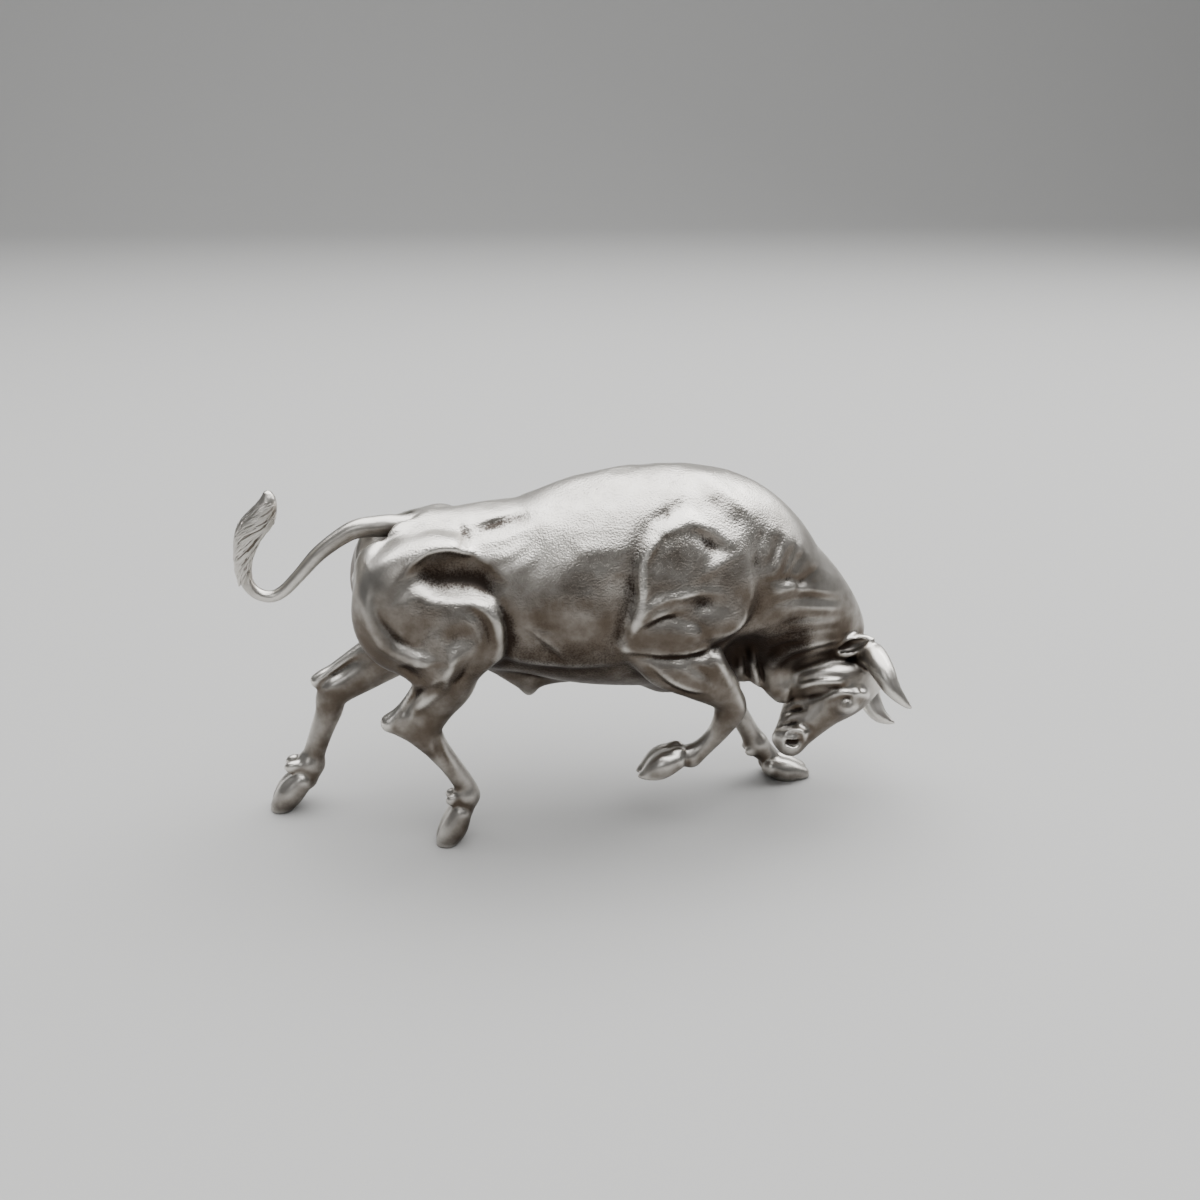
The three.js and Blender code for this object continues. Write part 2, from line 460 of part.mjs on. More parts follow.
function neck() {
  for (const q of SIDES) {
    // Folds that run along the neck towards the ear, no two alike
    furrow([[17.9, 30.2], [19.6, 30], [21.4, 29.7], [24, 28.6]], q, 0.45, 0.2);
    ridge([[18.2, 28.4], [21, 28.9], [24, 28.2], [26.8, 27]], q, 0.5, 0.18);
    furrow([[18, 26.6], [20.2, 27.5], [22.8, 27.5], [25.4, 26.9], [27.8, 26]], q, 0.5, 0.2);
    ridge([[19.4, 25.6], [22, 26.4], [25, 26], [27.6, 25.2]], q, 0.45, 0.12);
    furrow([[18.6, 24], [21.4, 24.9], [23.8, 25.1], [27.6, 24.4]], q, 0.5, 0.22);
    furrow([[20, 22.8], [22.4, 23.4], [25.2, 23.4], [28, 23]], q, 0.45, 0.2);
    // Short folds that sweep down and back from the crest
    furrow([[18, 35.3], [17.4, 33.8], [17.1, 31.6]], q, 0.5, 0.2);
    furrow([[20.1, 34.8], [19.4, 33.2], [18.4, 31.4]], q, 0.55, 0.2);
    ridge([[21.1, 34], [20, 32.5], [19.2, 30.9]], q, 0.5, 0.12);
    furrow([[21.9, 33.4], [21, 31.8], [19.8, 30.2]], q, 0.4, 0.16);
    furrow([[23, 32.4], [21.6, 31], [20.6, 29.3]], q, 0.5, 0.18);
    furrow([[24.8, 30.2], [23, 29.5], [21.6, 28.4]], q, 0.42, 0.16);
    ridge([[18.4, 36], [20.9, 34], [23.6, 31.7], [25.7, 29]], q, 0.8, 0.2, BODY, 1);
    // Collar of skin behind the jaw
    furrow([[19.9, 17.6], [19.9, 20.2], [20.8, 21.6], [23, 22.1]], q, 0.4, 0.35);
    ridge([[21, 16.2], [20.9, 19.2], [21.9, 20.8], [24.3, 21.5], [28.2, 21.7]], q, 0.42, 0.28);
    furrow([[22.2, 16], [21.9, 18.5], [22.8, 20], [25, 20.6], [28.4, 20.8]], q, 0.35, 0.35);
    // Hanging folds of the dewlap
    furrow([[17.2, 21.4], [17.9, 18.4], [18.9, 15.4]], q, 0.35, 0.4, BODY, -1);
    ridge([[18, 21.2], [18.8, 18], [19.6, 15.2]], q, 0.35, 0.25, BODY, -1);
    furrow([[18.7, 20.8], [19.8, 17.4], [20.3, 14.8]], q, 0.35, 0.4, BODY, -1);
    furrow([[16, 20.4], [16.4, 17.8], [17.2, 15.2]], q, 0.4, 0.3, BODY, -1);
  }
}

function hocks() {
  // Tendon, groove and shin, side by side above each hock
  furrow([[-17.5, 20.5], [-19, 18.4], [-20.3, 16.7]], NEAR, 0.42, 0.5, BODY, 3);
  ridge([[-15.9, 20.4], [-17.8, 18.4], [-19.6, 16]], NEAR, 0.55, 0.35, BODY, 3);
  ridge([[-14.2, 23.6], [-15.2, 21.8], [-15.4, 20.4]], NEAR, 0.5, 0.3, BODY, 3);
  furrow([[-16.8, 14.4], [-16.2, 12], [-15, 9.4]], NEAR, 0.4, 0.25, BODY, 3);
  furrow([[-25, 18.9], [-27.8, 17], [-29.6, 15.8]], AWAY, 0.42, 0.45, BODY, 3);
  furrow([[-25.4, 18.5], [-27.8, 16.9], [-29.6, 15.7]], NEAR, 0.42, 0.4, BODY, -7);
  ridge([[-24.6, 17.8], [-27.4, 15.9], [-28.6, 13.6]], NEAR, 0.5, 0.25, BODY, -7);
}

function skull() {
  strand(onHead([
    [0.6, 0, 0.3, 3.1, 1.1], [3.4, 0, 0, 3.3, 1.1], [6.4, 0, -0.5, 2.7, 1.06],
    [9.5, 0, -0.6, 2.05, 1.02], [12.2, 0, -0.6, 1.6, 1.2],
  ]), 1, TO_FAR);
  // Jaw and muzzle
  strand(onHead([
    [4.6, 0, -3.2, 2.4, 1.15], [7.5, 0, -2.8, 1.8, 1.05], [11, 0, -2, 1.15, 1.25],
    [12.6, 0, -1.8, 0.85, 1.4],
  ]), 0.8, TO_FAR);
  ball(headPoint(12.1, 0, -0.7), [1.35, 2.05, 1.6], 0.7, HEAD.axes);
}

function features() {
  for (const q of SIDES) {
    // Jaw muscle: a flat top that looks up, stepped up from the neck and down to the face's hollow
    strand(onHead([
      [6.9, q * 1.9, -3.7, 1], [5.4, q * 2.5, -3, 1.9], [3.6, q * 2.8, -1.6, 2.05],
      [1.7, q * 2.7, 0, 1.5],
    ]), 0.7);
    ball(headPoint(3, q * 2.2, -3.6), [2.6, 1.5, 1.6], 0.9, HEAD.axes);
    ball(headPoint(4.2, q * 2.6, 1.3), [1.9, 1.15, 1.3], 1.1, HEAD.axes);
    furrow([[6.2, -5.4], [5, -5.3], [3.1, -4.2], [1.2, -2.6], [0.1, -1]], q, 0.4, 0.25, HEAD, 1);
    furrow([[6.6, -3.9], [4.8, -2.5], [3.1, -0.6]], q, 0.28, 0.16, HEAD, 1);
    edge([[7.3, -3.4], [5.9, -2.4], [4.6, -1], [3.8, 0.2]], q, 0.6, 0.3, HEAD, 1);
    furrow([[7.4, -2.3], [6.2, -1.3], [5, -0.4]], q, 0.7, 0.25, HEAD, 1);
    furrow([[7, -4.4], [8.3, -3.6], [9.6, -3]], q, 0.3, 0.25, HEAD, 0.8);
    // Eye: the socket and the ball, with the lids and the brow round them
    cutBall(headPoint(5, q * 3.8, 1.4), [0.9, 0.5, 0.6], 0.3, HEAD.axes);
    ball(headPoint(5, q * 3.15, 1.4), [0.55, 0.45, 0.45], 0.15, HEAD.axes);
    ridge([[6.7, -0.7], [5.6, -0.2], [4.5, 0.4], [3.9, 1.4]], q, 0.4, 0.3, HEAD, 1);
    ridge([[3.6, 1.5], [3, 2.4], [2.6, 3.2]], q, 0.5, 0.35, HEAD, 1);
    ridge([[6.1, 1.9], [5.2, 2.5], [4.2, 2.8]], q, 0.3, 0.2, HEAD, 1);
    // Mouth, lips and nostril
    furrow([[10.6, -3.3], [9.4, -2.6], [8.4, -1.7]], q, 0.26, 0.45, HEAD, 0.4);
    furrow([[12.4, -2.9], [11.2, -2.2], [9.8, -1.1]], q, 0.28, 0.35, HEAD, 0.4);
    ridge([
      [12.6, -1.5], [11.6, -1.5], [10.8, -0.8], [10.6, 0.2], [11.3, 0.9],
    ], q, 0.32, 0.38, HEAD, 0.6);
    furrow([[10.2, -1], [9.8, 0], [10, 0.8]], q, 0.35, 0.2, HEAD, 0.6);
    cutStrand(onHead([
      [12.5, q * 1.8, -0.6, 0.36], [12.1, q * 1.75, 0, 0.44], [11.5, q * 1.75, 0.35, 0.2],
    ]), 0.25);
    // Ear: a leaf laid back to the horn, with a cup that opens outwards
    strand(onHead([
      [1.3, q * 3.4, -3, 0.9], [0.3, q * 4.6, -2.5, 1.25], [-0.9, q * 5.1, -1.6, 1.05],
      [-1.9, q * 5.5, -0.8, 0.4],
    ]), 0.5);
    cutStrand(onHead([
      [1, q * 5.2, -2.7, 0.35], [0.1, q * 5.5, -2.1, 0.68], [-0.8, q * 5.8, -1.5, 0.56],
      [-1.5, q * 6, -1.1, 0.25],
    ]), 0.25);
  }
}

function horns() {
  // Out to the side, then forward to a point; the pair isn't quite even
  strand(onHead([
    [-0.6, -2.6, -0.4, 1.7], [-0.7, -5, 0.5, 1.5], [0.1, -6.3, 2.3, 1.3], [1, -6.5, 4.3, 0.95],
    [1.3, -6.2, 6.2, 0.5], [1.3, -6, 7.1, 0.2],
  ]), 0.4);
  strand(onHead([
    [-0.6, 2.6, -0.4, 1.7], [0.1, 5, 1, 1.5], [1.6, 5.9, 3, 1.35], [2.4, 5.9, 4.9, 1],
    [2.3, 5.9, 6.3, 0.5], [2.1, 5.8, 7, 0.2],
  ]), 0.4);
}

// The skin: every cell is cut into six tetrahedra, so the surface always closes
const CORNERS = [[0, 0, 0], [0, 0, 1], [0, 1, 0], [0, 1, 1], [1, 0, 0], [1, 0, 1], [1, 1, 0], [1, 1, 1]];
const TETRAHEDRA = [[0, 1, 3, 7], [0, 3, 2, 7], [0, 2, 6, 7], [0, 6, 4, 7], [0, 4, 5, 7], [0, 5, 1, 7]];

function pointOf(index) {
  const k = index % count[2];
  const j = Math.floor(index / count[2]) % count[1];
  const i = Math.floor(index / (count[2] * count[1]));
  return [LOW[0] + i * CELL, LOW[1] + j * CELL, LOW[2] + k * CELL];
}

function skin() {
  const points = [];
  const faces = [];
  const onEdge = new Map();
  const vertex = (a, b) => {
    const key = a < b ? a * field.length + b : b * field.length + a;
    if (!onEdge.has(key)) {
      const t = clamp(field[a] / (field[a] - field[b]), 0.02, 0.98);
      const [pa, pb] = [pointOf(a), pointOf(b)];
      onEdge.set(key, points.length);
      points.push(add(pa, times(sub(pb, pa), t)));
    }
    return onEdge.get(key);
  };
  const face = (a, b, c, outward) => {
    const n = cross(sub(points[b], points[a]), sub(points[c], points[a]));
    faces.push(dot(n, outward) > 0 ? [a, b, c] : [a, c, b]);
  };
  const cutTetrahedron = (four) => {
    const deep = four.filter((index) => field[index] < 0);
    const shallow = four.filter((index) => field[index] >= 0);
    if (deep.length === 0 || shallow.length === 0) return;
    const outward = sub(pointOf(shallow[0]), pointOf(deep[0]));
    if (deep.length === 2) {
      const ring = [[0, 0], [0, 1], [1, 1], [1, 0]].map(([d, s]) => vertex(deep[d], shallow[s]));
      face(ring[0], ring[1], ring[2], outward);
      face(ring[0], ring[2], ring[3], outward);
    } else {
      const [one, three] = deep.length === 1 ? [deep, shallow] : [shallow, deep];
      face(...three.map((index) => vertex(one[0], index)), outward);
    }
  };
  for (let i = 0; i + 1 < count[0]; i++) {
    for (let j = 0; j + 1 < count[1]; j++) {
      for (let k = 0; k + 1 < count[2]; k++) {
        const corner = CORNERS.map(([a, b, c]) => indexOf(i + a, j + b, k + c));
        const inside = corner.filter((index) => field[index] < 0).length;
        if (inside === 0 || inside === 8) continue;
        for (const tetrahedron of TETRAHEDRA) cutTetrahedron(tetrahedron.map((c) => corner[c]));
      }
    }
  }
  return { points, faces };
}

// A queue that always gives back its cheapest entry
class Cheapest {
  constructor() {
    this.heap = [];
  }

  swap(i, j) {
    [this.heap[i], this.heap[j]] = [this.heap[j], this.heap[i]];
  }

  push(entry) {
    let i = this.heap.push(entry) - 1;
    while (i > 0 && this.heap[i].cost < this.heap[(i - 1) >> 1].cost) {
      this.swap(i, (i - 1) >> 1);
      i = (i - 1) >> 1;
    }
  }

  pop() {
    const top = this.heap[0];
    const end = this.heap.pop();
    if (this.heap.length === 0) return top;
    this.heap[0] = end;
    let i = 0;
    while (2 * i + 1 < this.heap.length) {
      const [left, right] = [2 * i + 1, 2 * i + 2];
      const child = right < this.heap.length && this.heap[right].cost < this.heap[left].cost ? right : left;
      if (this.heap[i].cost <= this.heap[child].cost) break;
      this.swap(i, child);
      i = child;
    }
    return top;
  }
}

// A quadric sums squared distances to planes: the upper half of a symmetric 4 x 4 matrix
function planeQuadric(normal, distance, weight) {
  const plane = [...normal, distance];
  return plane.flatMap((a, r) => plane.slice(r).map((b) => a * b * weight));
}

function quadricError(q, [x, y, z]) {
  return q[0] * x * x + 2 * q[1] * x * y + 2 * q[2] * x * z + 2 * q[3] * x
    + q[4] * y * y + 2 * q[5] * y * z + 2 * q[6] * y + q[7] * z * z + 2 * q[8] * z + q[9];
}

// The best place for the one point that takes over from two, and what it costs
function bestPlace(q, a, b) {
  const middle = times(add(a, b), 0.5);
  const span = Math.hypot(...sub(a, b));
  const places = [a, b, middle];
  const matrix = new THREE.Matrix3().set(q[0], q[1], q[2], q[1], q[4], q[5], q[2], q[5], q[7]);
  if (Math.abs(matrix.determinant()) > 1e-9) {
    const solved = new THREE.Vector3(-q[3], -q[6], -q[8]).applyMatrix3(matrix.invert()).toArray();
    if (Math.hypot(...sub(solved, middle)) < 2 * span) places.push(solved);
  }
  const costs = places.map((p) => quadricError(q, p) + 1e-6 * span);
  const cost = Math.min(...costs);
  return { cost, place: places[costs.indexOf(cost)] };
}

// Thins the skin by folding away the edges that change its form least
function thin({ points, faces }, goal) {
  const around = points.map(() => new Set());
  const quadrics = points.map(() => new Array(10).fill(0));
  const normalOf = (face, swapped = -1, place = null) => {
    const [a, b, c] = face.map((v) => (v === swapped ? place : points[v]));
    return cross(sub(b, a), sub(c, a));
  };
  faces.forEach((face, id) => {
    const n = normalOf(face);
    const area = Math.hypot(...n) + 1e-12;
    const u = times(n, 1 / area);
    const quadric = planeQuadric(u, -dot(u, points[face[0]]), area);
    for (const v of face) {
      around[v].add(id);
      quadrics[v] = add(quadrics[v], quadric);
    }
  });
  const version = new Int32Array(points.length);
  const queue = new Cheapest();
  const offer = (a, b) => {
    const q = add(quadrics[a], quadrics[b]);
    queue.push({ a, b, va: version[a], vb: version[b], q, ...bestPlace(q, points[a], points[b]) });
  };
  const neighbours = (v) => new Set([...around[v]].flatMap((id) => faces[id]).filter((w) => w !== v));
  const keepsForm = (from, other, place) => [...around[from]].every((id) => {
    if (faces[id].includes(other)) return true;
    const [before, after] = [normalOf(faces[id]), normalOf(faces[id], from, place)];
    const size = Math.hypot(...before) * Math.hypot(...after);
    return dot(before, after) > 0.3 * size && size > 1e-12;
  });
  const canFold = ({ a, b, va, vb, place }) => {
    if (va !== version[a] || vb !== version[b] || around[a].size === 0 || around[b].size === 0) return false;
    const shared = neighbours(b);
    const common = [...neighbours(a)].filter((w) => shared.has(w));
    return common.length === 2 && keepsForm(a, b, place) && keepsForm(b, a, place);
  };
  points.forEach((_, v) => [...neighbours(v)].filter((w) => v < w).forEach((w) => offer(v, w)));
  let left = faces.length;
  while (left > goal && queue.heap.length > 0) {
    const edge = queue.pop();
    if (!canFold(edge)) continue;
    const { a, b } = edge;
    for (const id of around[b]) {
      if (faces[id].includes(a)) {
        faces[id].filter((v) => v !== b).forEach((v) => around[v].delete(id));
        left--;
      } else {
        faces[id] = faces[id].map((v) => (v === b ? a : v));
        around[a].add(id);
      }
    }
    around[b] = new Set();
    points[a] = edge.place;
    quadrics[a] = edge.q;
    version[a]++;
    version[b]++;
    for (const w of neighbours(a)) offer(a, w);
  }
  const kept = faces.filter((face, id) => around[face[0]].has(id));
  const used = [...new Set(kept.flat())];
  const fresh = new Map(used.map((v, i) => [v, i]));
  return { points: used.map((v) => points[v]), faces: kept.map((face) => face.map((v) => fresh.get(v))) };
}

// Cuts the soles flat on the ground with a block under it
async function standFlat({ points, faces }) {
  const wasm = await Module();
  wasm.setup();
  const solid = (places, triangles) => {
    const vertProperties = new Float32Array(places.flat());
    const triVerts = new Uint32Array(triangles.flat());
    return new wasm.Manifold(new wasm.Mesh({ numProp: 3, vertProperties, triVerts }));
  };
  const block = new THREE.BoxGeometry(200, 100, 20).translate(0, 0, SOLE - 10);
  const corners = [];
  const triangles = Array.from(block.index.array, (v) => {
    const p = new THREE.Vector3().fromBufferAttribute(block.attributes.position, v).toArray();
    const known = corners.findIndex((c) => Math.hypot(...sub(c, p)) < 1e-6);
    return known >= 0 ? known : corners.push(p) - 1;
  });
  return solid(points, faces).subtract(solid(corners, triangles)).getMesh();
}

// The casting at its driving length, standing over the middle of its own footprint
function casting(mesh) {
  const geometry = new THREE.BufferGeometry();
  geometry.setAttribute('position', new THREE.BufferAttribute(new Float32Array(mesh.vertProperties), 3));
  geometry.setIndex(new THREE.BufferAttribute(new Uint32Array(mesh.triVerts), 1));
  geometry.computeBoundingBox();
  const { min, max } = geometry.boundingBox;
  geometry.translate(-(min.x + max.x) / 2, -(min.y + max.y) / 2, -min.z);
  const scale = LENGTH / (max.x - min.x);
  geometry.scale(scale, scale, scale);
  geometry.computeVertexNormals();
  return geometry;
}

function sculpt() {
  trunk();
  quarters();
  shoulders();
  nearHindLeg();
  farHindLeg();
  nearForeLeg();
  farForeLeg();
  tail();
  flanks();
  shoulderRelief();
  neck();
  hocks();
  skull();
  features();
  horns();
}

sculpt();
const silver = new THREE.MeshStandardMaterial({ color: SILVER, roughness: 0.3, metalness: 1 });
const bull = new THREE.Mesh(casting(await standFlat(thin(skin(), TRIANGLES))), silver);
bull.name = 'bull';

const group = new THREE.Group();
group.add(bull);
export default group;
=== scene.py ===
"""A small cast bull, head down and tail up, in satin-polished white metal on a studio floor.

The bull is sculpted in millimetres as a field of distances to its skin: flesh is added as
tapering strands and balls, hollows are cut, and ridges and furrows are drawn in. The skin is
then laid where the field is zero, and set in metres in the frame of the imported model.
"""

import json
import math
from functools import partial

import bpy
import numpy as np
from bpy.props import FloatProperty, FloatVectorProperty, IntProperty, PointerProperty
from mathutils import Euler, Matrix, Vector

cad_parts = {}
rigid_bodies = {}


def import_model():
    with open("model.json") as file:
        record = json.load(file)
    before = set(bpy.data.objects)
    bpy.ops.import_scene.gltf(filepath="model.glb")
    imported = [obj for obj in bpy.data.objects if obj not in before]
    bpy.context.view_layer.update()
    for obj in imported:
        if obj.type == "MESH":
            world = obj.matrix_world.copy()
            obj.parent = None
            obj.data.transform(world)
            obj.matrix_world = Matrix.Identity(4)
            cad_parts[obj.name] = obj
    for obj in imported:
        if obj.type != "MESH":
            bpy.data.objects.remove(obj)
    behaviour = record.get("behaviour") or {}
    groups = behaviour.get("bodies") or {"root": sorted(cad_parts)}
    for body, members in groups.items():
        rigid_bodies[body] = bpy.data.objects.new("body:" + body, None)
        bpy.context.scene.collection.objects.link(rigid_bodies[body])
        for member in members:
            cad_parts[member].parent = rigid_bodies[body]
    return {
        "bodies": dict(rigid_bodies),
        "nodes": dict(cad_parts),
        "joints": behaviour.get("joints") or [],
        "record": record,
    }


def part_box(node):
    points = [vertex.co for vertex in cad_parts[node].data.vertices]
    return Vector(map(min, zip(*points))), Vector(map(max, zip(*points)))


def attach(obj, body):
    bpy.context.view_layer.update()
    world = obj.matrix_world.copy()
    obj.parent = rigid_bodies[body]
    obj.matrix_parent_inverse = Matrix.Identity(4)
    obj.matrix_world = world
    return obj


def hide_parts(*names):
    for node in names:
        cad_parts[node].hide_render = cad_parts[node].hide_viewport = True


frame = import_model()
CAD_BOX = [list(corner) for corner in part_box("bull")]
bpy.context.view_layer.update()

bl_info = {
    "name": "Cast Bull",
    "version": (1, 0, 0),
    "blender": (4, 5, 0),
    "location": "View3D > Sidebar > Cast Bull",
    "description": "Sculpts a small cast-metal bull and its studio stage",
    "category": "Object",
}

MM = 0.001
MOST_TRIANGLES = 200000
FEWEST_LOCK_FACES = 500

# The sculpt's block of space, the height that its soles are cut at, and how far round flesh and
# round a cut the field is worked out, all in millimetres
LOW, HIGH = (-38.5, -12.5, -1.2), (39.5, 12.5, 43.2)
SOLE = 0.45
FAR, CUT_FAR = 2.5, 0.5
# Straight pieces that each span of a strand and of a line of relief is drawn in
STRAND_STEPS, LINE_STEPS = 8, 6
# A line of relief: how many widths it reaches, where it starts off the middle and over how many
# millimetres it then fades in, and how far it may reach to the side
LINE_REACH, CORE, CORE_FADE, ASIDE = 2.6, 1.5, 1.2, 12
# The share of a line's length that it fades out over at least, and the share of its width that the
# step of an edge takes
LINE_END, STEP_SHARE = 0.02, 0.3
# The thinnest radius, the blend round a dewclaw, and further away than any point
THINNEST, DEWCLAW_SOFT, NOWHERE = 0.05, 0.4, 1e3
# Keeps a division from being one by zero
TINY = 1e-9

ACROSS = (0, 1, 0)
# The flank with the lifted foreleg, which the camera sees, and the other one
NEAR, AWAY = -1, 1
SIDES = (NEAR, AWAY)
BODY = (np.zeros(3), np.eye(3))


def unit(v):
    v = np.asarray(v, float)
    return v / np.linalg.norm(v)


def head_frame():
    """Origin at the poll; axes towards the muzzle, to the far side, and out of the forehead."""
    muzzle = unit((-0.69, -0.24, -0.68))
    aside = np.array((0.19, 0.80, -0.58))
    aside = unit(aside - muzzle * (aside @ muzzle))
    return np.array((32.2, 0.4, 16.6)), np.array([muzzle, aside, np.cross(muzzle, aside)])


HEAD = head_frame()


def on_head(stations):
    """Stations given in the head's frame, moved to the body's."""
    origin, axes = HEAD
    return [tuple(origin + np.array(s[:3]) @ axes) + tuple(s[3:]) for s in stations]


def head_point(s, w, h):
    return on_head([(s, w, h)])[0]


HEAD_AXES = HEAD[1]
HEAD_ACROSS = HEAD[1][1]


def soft_min(a, b, soft):
    h = np.maximum(soft - np.abs(a - b), 0.0) / soft
    return np.minimum(a, b) - h * h * (soft * 0.25)


def stretched_distance(k0, k1, centre):
    """Distance to a stretched ball: k0 and k1 are how far out a point is, in radii and in radii
    squared. The middle, where the formula breaks down, gets one value."""
    return np.where(k0 < 0.05, centre, k0 * (k0 - 1) / (k1 + 1e-6))


def smooth(stations, steps):
    """A Catmull-Rom curve through given stations with any number of columns."""
    p = np.asarray(stations, float)
    if len(p) < 3:
        return p
    q = np.vstack([2 * p[0] - p[1], p, 2 * p[-1] - p[-2]])
    t = (np.arange(steps) / steps)[:, None]
    spans = [0.5 * (2 * b + (c - a) * t + (2 * a - 5 * b + 4 * c - d) * t ** 2
                    + (3 * b - a - 3 * c + d) * t ** 3)
             for a, b, c, d in zip(q, q[1:], q[2:], q[3:])]
    return np.vstack(spans + [p[-1:]])


def turned(pitch=0.0, yaw=0.0, roll=0.0):
    """Axes of a leaned ball, degrees: pitch lifts its nose, yaw turns it, roll tips its top over."""
    p, y, r = np.radians([pitch, yaw, roll])
    tip = np.array([[1, 0, 0], [0, np.cos(r), np.sin(r)], [0, -np.sin(r), np.cos(r)]])
    lift = np.array([[np.cos(p), 0, np.sin(p)], [0, 1, 0], [-np.sin(p), 0, np.cos(p)]])
    turn = np.array([[np.cos(y), np.sin(y), 0], [-np.sin(y), np.cos(y), 0], [0, 0, 1]])
    return tip @ lift @ turn


class Clay:
    """A block of space in mm that holds the distance to the skin at every grid point."""

    def __init__(self, low, high, cell):
        self.low = np.array(low, float)
        self.cell = cell
        self.count = np.ceil((np.array(high, float) - self.low) / cell).astype(int) + 1
        self.axis = [(start + np.arange(count) * cell).astype(np.float32)
                     for start, count in zip(self.low, self.count)]
        self.field = np.full(self.count, FAR, np.float32)

    def block(self, low, high):
        """The part of the grid between two corners, as slices and as coordinates."""
        a = np.clip(np.floor((np.asarray(low) - self.low) / self.cell).astype(int), 0, self.count)
        b = np.clip(np.ceil((np.asarray(high) - self.low) / self.cell).astype(int) + 1, 0, self.count)
        cut = tuple(slice(i, max(i, j)) for i, j in zip(a, b))
        x, y, z = (self.axis[i][cut[i]] for i in range(3))
        return cut, (x[:, None, None], y[None, :, None], z[None, None, :])

    def local(self, grid, frame):
        """Grid coordinates in a frame; the body's own stay as light as they are."""
        origin, axes = frame
        o = [g - np.float32(v) for g, v in zip(grid, origin)]
        if frame is BODY:
            return o
        return [sum(np.float32(a[i]) * o[i] for i in range(3)) for a in axes]

    def add(self, cut, d, soft):
        self.field[cut] = soft_min(self.field[cut], d, soft)

    def carve(self, cut, d, soft):
        self.field[cut] = -soft_min(-self.field[cut], d, soft)

    def near_strand(self, stations, side, margin):
        """The block round a strand, and the distance to its skin there."""
        p = np.asarray(stations, float)
        if p.shape[1] == 4:
            p = np.hstack([p, np.ones((len(p), 1))])
        p = smooth(p, STRAND_STEPS)
        p[:, 3] = np.maximum(p[:, 3], THINNEST)
        reach = p[:, 3] * np.maximum(p[:, 4], 1) + margin
        low = (p[:, :3] - reach[:, None]).min(0)
        high = (p[:, :3] + reach[:, None]).max(0)
        cut, _ = self.block(low, high)
        far = np.full([c.stop - c.start for c in cut], margin + 1.0, np.float32)
        for a, b, r in zip(p, p[1:], np.maximum(reach, np.roll(reach, -1))):
            part, grid = self.block(np.maximum(np.minimum(a[:3], b[:3]) - r, low),
                                    np.minimum(np.maximum(a[:3], b[:3]) + r, high))
            sub = tuple(slice(q.start - c.start, q.stop - c.start) for q, c in zip(part, cut))
            ab = (b[:3] - a[:3]).astype(np.float32)
            o = [g - np.float32(v) for g, v in zip(grid, a)]
            t = np.clip((o[0] * ab[0] + o[1] * ab[1] + o[2] * ab[2]) / (float(ab @ ab) + TINY), 0, 1)
            o = [v - t * w for v, w in zip(o, ab)]
            radius = a[3] + (b[3] - a[3]) * t
            square = o[0] * o[0] + o[1] * o[1] + o[2] * o[2]
            if side is None:
                d = np.sqrt(square) - radius
            else:
                flat = radius * (a[4] + (b[4] - a[4]) * t)
                over = o[0] * side[0] + o[1] * side[1] + o[2] * side[2]
                rest = np.maximum(square - over * over, 0)
                k0 = np.sqrt(over * over / flat ** 2 + rest / radius ** 2)
                k1 = np.sqrt(over * over / flat ** 4 + rest / radius ** 4)
                d = stretched_distance(k0, k1, -np.minimum(radius, flat))
            far[sub] = np.minimum(far[sub], d)
        return cut, far

    def strand(self, stations, soft, side=None):
        """Adds flesh along stations of x, y, z, radius and, with a side, width over depth."""
        self.add(*self.near_strand(stations, side, soft + FAR), soft)

    def cut_strand(self, stations, soft):
        self.carve(*self.near_strand(stations, None, soft + CUT_FAR), soft)

    def near_ball(self, centre, radii, axes, margin):
        reach = max(radii) + margin
        cut, grid = self.block(np.array(centre) - reach, np.array(centre) + reach)
        o = self.local(grid, (centre, axes))
        k0 = np.sqrt(sum((v / r) ** 2 for v, r in zip(o, radii)))
        k1 = np.sqrt(sum((v / r ** 2) ** 2 for v, r in zip(o, radii)))
        return cut, stretched_distance(k0, k1, -min(radii)).astype(np.float32)

    def ball(self, centre, radii, soft, axes=np.eye(3)):
        self.add(*self.near_ball(centre, radii, axes, soft + FAR), soft)

    def cut_ball(self, centre, radii, soft, axes=np.eye(3)):
        self.carve(*self.near_ball(centre, radii, axes, soft + CUT_FAR), soft)

    def shave(self, point, normal, low, high, soft):
        """Cuts away what lies beyond a plane, inside a box."""
        cut, grid = self.block(low, high)
        d = sum((g - np.float32(p)) * np.float32(n) for g, p, n in zip(grid, point, unit(normal)))
        self.carve(cut, -d, soft)

